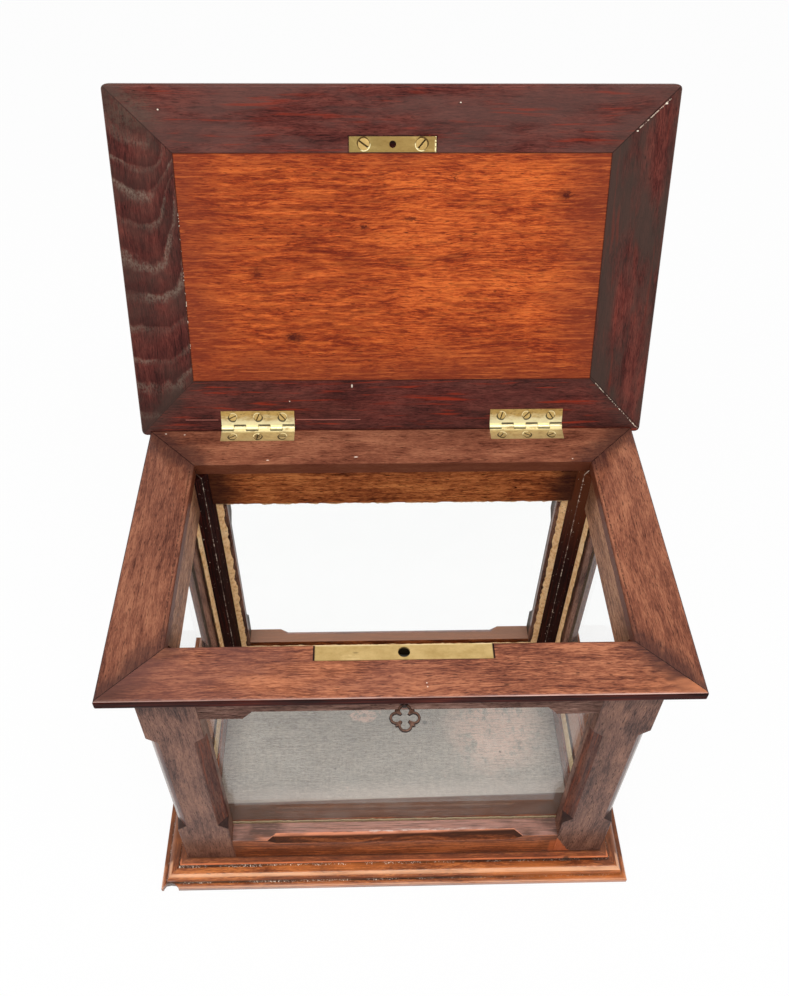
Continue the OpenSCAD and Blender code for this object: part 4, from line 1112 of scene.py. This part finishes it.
def putty_band(side, material, ragged, seed):
    """A pressed fillet of putty round one pane, with a wandering inner edge."""
    lo, hi = low("putty_" + side), high("putty_" + side)
    run, deep = (0, 1) if along_side(side) == "x" else (1, 0)
    inward = -1 if side in ("right", "back") else 1
    glass = hi[deep] if inward < 0 else lo[deep]
    u0, u1, v0, v1 = lo[run], hi[run], lo[2], hi[2]
    corners = [Vector(c) for c in ((u0, v0), (u1, v0), (u1, v1), (u0, v1))]
    width, thick, step = 4.2, abs(hi[deep] - lo[deep]), 1.4
    shift = random.Random(seed).uniform(0, 500)

    def section(at, along, s, sill, far, near):
        """The ring of places round the putty's section at one place of the rim."""
        wander = noise.fractal(Vector((s * 0.09, seed, 0)), 1.0, 2.0, 4) * ragged * 1.6
        lump = noise.fractal(Vector((s * 0.3, 0, seed)), 1.0, 2.0, 3)
        w = max(1.2, width + (2.4 if sill else 0.0) + wander + lump * 0.5)
        for reach, rise in ((0.0, 0.0), (0.0, thick * 0.98), (w * 0.5, thick * (0.85 + 0.12 * lump)),
                            (w * 0.9, thick * (0.35 + 0.15 * lump)), (w, 0.0)):
            mitre = Vector((0, 0))
            if far < width:
                mitre = along * max(0.0, reach - far)
            if near < width:
                mitre = -along * max(0.0, reach - near)
            q = at + Vector((-along.y, along.x)) * reach + mitre
            co = [0.0, 0.0, q.y]
            co[run] = q.x
            co[deep] = glass + inward * rise
            yield Vector(co) * MM

    def make(bm):
        rings = []
        for k, a in enumerate(corners):
            b = corners[(k + 1) % 4]
            count = int((b - a).length / step)
            for j in range(count):
                at = a + (b - a) * j / count
                places = section(at, (b - a).normalized(), shift + k * 97 + j * step,
                                 k == 0 and side in ("left", "right"), (at - a).length, (b - at).length)
                rings.append([bm.verts.new(co) for co in places])
        for a, b in zip(rings, rings[1:] + rings[:1]):
            for i in range(5):
                j = (i + 1) % 5
                bm.faces.new((a[i], b[i], b[j], a[j]))
        bmesh.ops.recalc_face_normals(bm, faces=bm.faces)
    new_piece("putty_%s_fillet" % side, make, material, "putty_" + side, 60.0)


class CABINET_OT_putty(bpy.types.Operator):
    """Glazing putty"""
    bl_idname = "cabinet.putty"
    bl_label = "Putty"

    def execute(self, context):
        _, f = looks(context)
        t = Finish("putty", Specular_IOR_Level=0.3)
        lumps = t.noise(0.35, 5, 0.65)
        t.colour = t.tint(lumps.step(0.3, 0.6), srgb(196, 142, 88), f.putty)
        t.lay(t.noise(0.05, 4).step(0.5, 0.75) * 0.5, 238, 218, 176)
        t.lay(t.p.parts()[1].step(30.0, -50.0) * 0.6, 240, 224, 178)
        t.lay(t.noise((0.9, 0.9, 0.5)).step(0.64, 0.7) * 0.6, 86, 52, 28)
        t.rough = lumps * 0.2 + 0.6
        t.seal(lumps, 0.6, 0.4 * MM)
        for i, side in enumerate(SIDES):
            putty_band(side, t.mat, f.ragged / MM, 200 + i)
        return {"FINISHED"}


# ---- Fittings

LEAF_HEAD = 2.6


class CABINET_OT_hinges(bpy.types.Operator):
    """Brass butt hinges and their screws"""
    bl_idname = "cabinet.hinges"
    bl_label = "Hinges"

    def execute(self, context):
        _, f = looks(context)
        case_at = screw_places("case_hinge_screws", False)
        lid_at = screw_places("lid_hinge_screws", True)
        for k, hand in enumerate(("left", "right")):
            leaf, mine = "hinge_" + hand, slice(3 * k, 3 * k + 3)
            case = metal("hinge_brass_case_" + hand, PALE_BRASS, srgb(158, 132, 84), 0.45, metallic=0.45,
                         marks=lambda t: case_leaf_marks(t, leaf + "_case_leaf", case_at[mine]))
            lid = metal("hinge_brass_lid_" + hand, srgb(206, 170, 98), srgb(150, 118, 58), 0.38, lid=True,
                        metallic=0.7, marks=lambda t: lid_leaf_marks(t, leaf + "_lid_leaf", lid_at[mine]))
            dress(leaf + "_case_leaf", case, 0.1)
            dress(leaf + "_pin", case, 0)
            dress(leaf + "_lid_leaf", lid, 0.1)

        def stained(t):
            slot_shade(t, False)
            t.lay(t.spot(*case_at[1][:2], LEAF_HEAD, LEAF_HEAD) * 0.75, 92, 72, 44)
        brass = metal("case_screw_brass", PALE_BRASS, f.dull, 0.4, metallic=0.5, marks=stained)
        dress("case_hinge_screws", brass, 0.08,
              turned_screws("case_hinge_screws", False, (10, 60, -25, 35, -50, 5)))
        brass = metal("lid_screw_brass", f.brass, f.tarnish, 0.36, lid=True, metallic=0.7,
                      marks=lambda t: slot_shade(t, True))
        dress("lid_hinge_screws", brass, 0.08,
              turned_screws("lid_hinge_screws", True, (-60, 80, 15, 70, 100, 20)))
        return {"FINISHED"}


class CABINET_OT_lock(bpy.types.Operator):
    """The lock: plates, box, drill pin, bolt and screws"""
    bl_idname = "cabinet.lock"
    bl_label = "Lock"

    def execute(self, context):
        def marks(t):
            x, y, z = t.p.parts()
            soft = t.noise((0.05, 0.12, 0.1), 5, 0.7)
            t.lay(soft.step(0.45, 0.7) * 0.5, 168, 136, 74)
            t.lay(soft.step(0.45, 0.3) * 0.5, 232, 204, 146)
            t.lay(y.step(LOCK_BACK - 0.9, LOCK_BACK - 0.3) * soft.step(0.35, 0.5) * 0.7, 252, 232, 180)
            ends = abs(x - LOCK_X).step(49.2, 49.8) * 0.6
            inner = z.step(TOP_Z - 0.7, TOP_Z - 1.6)
            scuff = t.spot(-25.5, LOCK_BACK - 5.2, 2.4, 0.7, 0.2) * 0.45
            t.lay(ends.most(inner).most(scuff), BRASS_SHADE_AND_DIRT)
            t.rough = t.rough + inner * 0.4
        plate = metal("lock_brass", srgb(208, 178, 118), srgb(176, 148, 90), 0.42, metallic=0.7, marks=marks)
        steel = metal("lock_steel", srgb(150, 146, 140), srgb(96, 84, 72), 0.4)
        for node, look, arris in (("lock_plate", plate, 0.15), ("lock_case", plate, 0.15),
                                  ("lock_screws", plate, 0.05), ("lock_drill_pin", steel, 0.1),
                                  ("lock_bolt", steel, 0.2)):
            dress(node, look, arris)
        return {"FINISHED"}


class CABINET_OT_strike(bpy.types.Operator):
    """The strike plate on the lid and its screws"""
    bl_idname = "cabinet.strike"
    bl_label = "Strike plate"

    def execute(self, context):
        _, f = looks(context)
        places, end = screw_places("strike_screws", True), closed("strike_plate")[1][0]

        def marks(t):
            x = t.p.parts()[0]
            soft = t.noise((0.09, 0.2, 0.2), 4, 0.7)
            t.lay(soft.step(0.5, 0.7) * 0.5, 128, 96, 44)
            t.lay(soft.step(0.5, 0.3) * 0.4, 214, 182, 116)
            t.lay(x.step(8.0, -20.0) * 0.45, 134, 118, 66)
            t.lay(t.noise(0.9).step(0.45, 0.52) * x.step(end - 1.2, end - 0.6), 255, 240, 184)
            rings_round(t, places, 3.5, srgb(84, 60, 26))
        brass = metal("strike_brass", srgb(164, 134, 76), f.dull, 0.38, lid=True, metallic=0.75, marks=marks)
        dress("strike_plate", brass, 0.15)
        brass = metal("strike_screw_brass", srgb(204, 170, 104), f.dull, 0.36, lid=True, metallic=0.75,
                      marks=lambda t: slot_shade(t, True))
        dress("strike_screws", brass, 0.1, turned_screws("strike_screws", True, (-20, -105)))
        return {"FINISHED"}


# ---- Key

KEY_X, KEY_Z = 1.5, 235.0
BOW_REACH = 8.7
BOW_SIDES, PIPE_SIDES = 14, 32


def bow_reach(angle, circles, start):
    """How far from the bow's centre the outermost of some circles reaches, along an angle."""
    best = start
    for cx, cy, radius in circles:
        along = cx * math.cos(angle) + cy * math.sin(angle)
        off = radius * radius - (cx * cx + cy * cy - along * along)
        if off > 0:
            best = max(best, along + math.sqrt(off))
    return best


def circle(count):
    """Angles round a circle."""
    return [2 * math.pi * k / count for k in range(count)]


def join_rings(bm, rings, sides):
    """Faces between neighbouring rings of places. A ring of one place is a tip."""
    for a, b in rings:
        for k in range(sides):
            j = (k + 1) % sides
            corners = (a[k % len(a)], a[j % len(a)], b[j % len(b)], b[k % len(b)])
            bm.faces.new(list(dict.fromkeys(corners)))


def bow_rings(middle):
    """Sections of the moulded quatrefoil bow, one after the other round its centre."""
    lobe, out, band, thick = 4.1, 4.6, 1.6, 1.8
    quarter = math.pi / 2
    lobes = [(out * math.cos(a), out * math.sin(a)) for a in (0, quarter, math.pi, math.pi * 1.5)]
    outer = [(x, y, lobe) for x, y in lobes]
    outer += [((out + 2.2) * math.cos(a), (out + 2.2) * math.sin(a), 0.8)
              for a in (math.pi * (0.25 + 0.5 * k) for k in range(4))]
    inner = [(x, y, lobe - band) for x, y in lobes]
    for a in circle(240):
        off = abs((a - math.pi / 4) % quarter)
        off = min(off, quarter - off)
        big = bow_reach(a, outer, out)
        small = min(bow_reach(a, inner, out - 2), 2.6 + off * off * 60)
        ring = []
        for q in circle(BOW_SIDES):
            u, v = (math.copysign(abs(c) ** 0.7, c) for c in (math.cos(q), math.sin(q)))
            v *= 1.0 - 0.16 * (1 - min(1.0, abs(abs(u) - 0.45) / 0.3))
            reach = (big + small) / 2 + (big - small) / 2 * u
            ring.append(Vector((KEY_X + reach * math.cos(a), middle + reach * math.sin(a),
                                KEY_Z + thick / 2 * v)))
        yield ring


def key_form(bm):
    """The key: a moulded quatrefoil bow, a collared pipe and a bit."""
    lo, hi = low("key"), high("key")
    middle, top = lo.y + BOW_REACH, lo.y + 2 * BOW_REACH
    rings = [[bm.verts.new(co * MM) for co in ring] for ring in bow_rings(middle)]
    join_rings(bm, zip(rings, rings[1:] + rings[:1]), BOW_SIDES)
    profile = [(0.0, top - 1.4), (1.6, top - 1.4), (2.05, top - 0.4), (2.1, top + 0.3), (2.75, top + 0.5),
               (3.1, top + 0.9), (3.1, top + 1.5), (2.75, top + 1.9), (2.2, top + 2.1), (2.2, hi.y - 0.3),
               (2.0, hi.y), (1.2, hi.y), (1.16, hi.y - 11.9), (0.0, hi.y - 12.0)]
    loops = []
    for radius, y in profile:
        around = circle(PIPE_SIDES) if radius else (0.0,)
        places = [(KEY_X + radius * math.cos(a), y, KEY_Z + radius * math.sin(a)) for a in around]
        loops.append([bm.verts.new(Vector(co) * MM) for co in places])
    join_rings(bm, zip(loops, loops[1:]), PIPE_SIDES)
    bit = bmesh.ops.create_cube(bm, size=1.0)["verts"]
    for v in bit:
        v.co = Vector((KEY_X - 4.35 + v.co.x * 5.7, hi.y - 3.3 + v.co.y * 4.6, KEY_Z + v.co.z * 1.8)) * MM
    bmesh.ops.bevel(bm, geom=list({e for v in bit for e in v.link_edges}), offset=0.2 * MM, segments=2,
                    affect="EDGES")
    bmesh.ops.recalc_face_normals(bm, faces=bm.faces)


class CABINET_OT_key(bpy.types.Operator):
    """The iron key with its quatrefoil bow"""
    bl_idname = "cabinet.key"
    bl_label = "Key"

    def execute(self, context):
        _, f = looks(context)

        def ridge(t):
            # Painted highlight on the flat faces of the bow, broken by noise.
            rub = t.noise(0.5, 3).step(0.35, 0.6)
            t.lay(abs(t.normal()[2]).step(0.86, 0.99) * (rub * 0.45 + 0.4), 150, 114, 96)
        iron = metal("key_iron", f.iron, srgb(44, 30, 26), 0.5, metallic=0.6, marks=ridge)
        new_piece("key_forged", key_form, iron, "key", 50.0)
        return {"FINISHED"}


# ---- Stage

class CABINET_OT_stage(bpy.types.Operator):
    """Pale floor, white surround, studio lamps and the camera"""
    bl_idname = "cabinet.stage"
    bl_label = "Stage"

    def execute(self, context):
        scene = context.scene
        scene.view_settings.view_transform = "Standard"

        def disc(bm):
            bmesh.ops.create_circle(bm, cap_ends=True, segments=96, radius=3.0)
        t = Finish("pale_floor", Base_Color=(0.9, 0.9, 0.9, 1), Roughness=0.7)
        rays = t.node("ShaderNodeLightPath", {}, {}).outputs
        seen = Wire(t, rays["Is Camera Ray"]).most(Wire(t, rays["Is Glossy Ray"])).most(
            Wire(t, rays["Is Transmission Ray"]))
        glow = t.add("ShaderNodeEmission", {}, {"Color": WHITE, "Strength": 1.0})
        t.show(t.mixed(seen * 0.95, Wire(t, t.shader.outputs[0]), glow).out)
        new_object("studio_floor", disc, t.mat)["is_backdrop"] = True

        scene.world = bpy.data.worlds.new("studio")
        scene.world.use_nodes = True
        sky = Tree(scene.world.node_tree)
        rays = sky.node("ShaderNodeLightPath", {}, {}).outputs
        seen = Wire(sky, rays["Is Camera Ray"]).most(Wire(sky, rays["Is Glossy Ray"]))
        plain, white = (sky.add("ShaderNodeBackground", {}, {"Color": WHITE, "Strength": strength})
                        for strength in (0.5, 1.0))
        sky.node("ShaderNodeOutputWorld", {}, {"Surface": sky.mixed(seen, plain, white)})

        for name, place, wide, high_side, power in (
                ("lamp_left", (-0.95, -0.5, 1.2), 0.5, 0.5, 5.0),
                ("lamp_right", (1.0, -0.4, 1.2), 0.5, 0.5, 4.0),
                ("lamp_strip", (0.0, -0.8, 1.75), 1.8, 0.25, 14.0)):
            lamp = bpy.data.lights.new(name, "AREA")
            lamp.shape = "RECTANGLE"
            lamp.size = wide
            lamp.size_y = high_side
            lamp.energy = power
            obj = bpy.data.objects.new(name, lamp)
            obj.location = place
            aim = Vector((0, 0, 0.18)) - Vector(place)
            obj.rotation_euler = aim.to_track_quat("-Z", "Y").to_euler()
            scene.collection.objects.link(obj)

        cam = bpy.data.cameras.new("camera")
        cam.lens = 33.96
        cam.sensor_width = 36.0
        cam.sensor_fit = "AUTO"
        cam.shift_x = 0.00601
        cam.shift_y = -0.00324
        cam.clip_start = 0.01
        cam.clip_end = 20.0
        eye = bpy.data.objects.new("camera", cam)
        right = Vector((0.99964, -0.02415, 0.01126))
        up = Vector((0.00995, 0.73012, 0.68324))
        back = Vector((-0.02472, -0.68289, 0.73010))
        turn = Matrix((right, up, back)).transposed().to_4x4()
        eye.matrix_world = Matrix.Translation((-0.01922, -0.37001, 0.69856)) @ turn
        scene.collection.objects.link(eye)
        scene.camera = eye
        return {"FINISHED"}


class CABINET_PT_maker(bpy.types.Panel):
    """Buttons for each part of the cabinet"""
    bl_label = "Display cabinet"
    bl_idname = "CABINET_PT_maker"
    bl_space_type = "VIEW_3D"
    bl_region_type = "UI"
    bl_category = "Cabinet"

    def draw(self, context):
        wood_looks, fittings = looks(context)
        for group in (wood_looks, fittings):
            for key in group.__annotations__:
                self.layout.prop(group, key)
        for op in OPERATORS:
            self.layout.operator(op.bl_idname)


GROUPS = (CabinetWood, CabinetFittings)
OPERATORS = (CABINET_OT_plinth, CABINET_OT_floor_board, CABINET_OT_posts, CABINET_OT_rails,
             CABINET_OT_top_frame, CABINET_OT_glass, CABINET_OT_putty, CABINET_OT_hinges, CABINET_OT_lock,
             CABINET_OT_key, CABINET_OT_lid_frame, CABINET_OT_lid_panel, CABINET_OT_strike, CABINET_OT_stage)


def register():
    for cls in GROUPS + OPERATORS + (CABINET_PT_maker,):
        bpy.utils.register_class(cls)
    bpy.types.Scene.cabinet_wood = bpy.props.PointerProperty(type=CabinetWood)
    bpy.types.Scene.cabinet_fittings = bpy.props.PointerProperty(type=CabinetFittings)


def unregister():
    del bpy.types.Scene.cabinet_fittings
    del bpy.types.Scene.cabinet_wood
    for cls in reversed(GROUPS + OPERATORS + (CABINET_PT_maker,)):
        bpy.utils.unregister_class(cls)


def main():
    register()
    for op in OPERATORS:
        group, name = op.bl_idname.split(".")
        getattr(getattr(bpy.ops, group), name)()
    plain = [[list(map(float, corner)) for corner in box] for box in (CAD_BOX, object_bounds())]


if __name__ == "__main__":
    main()
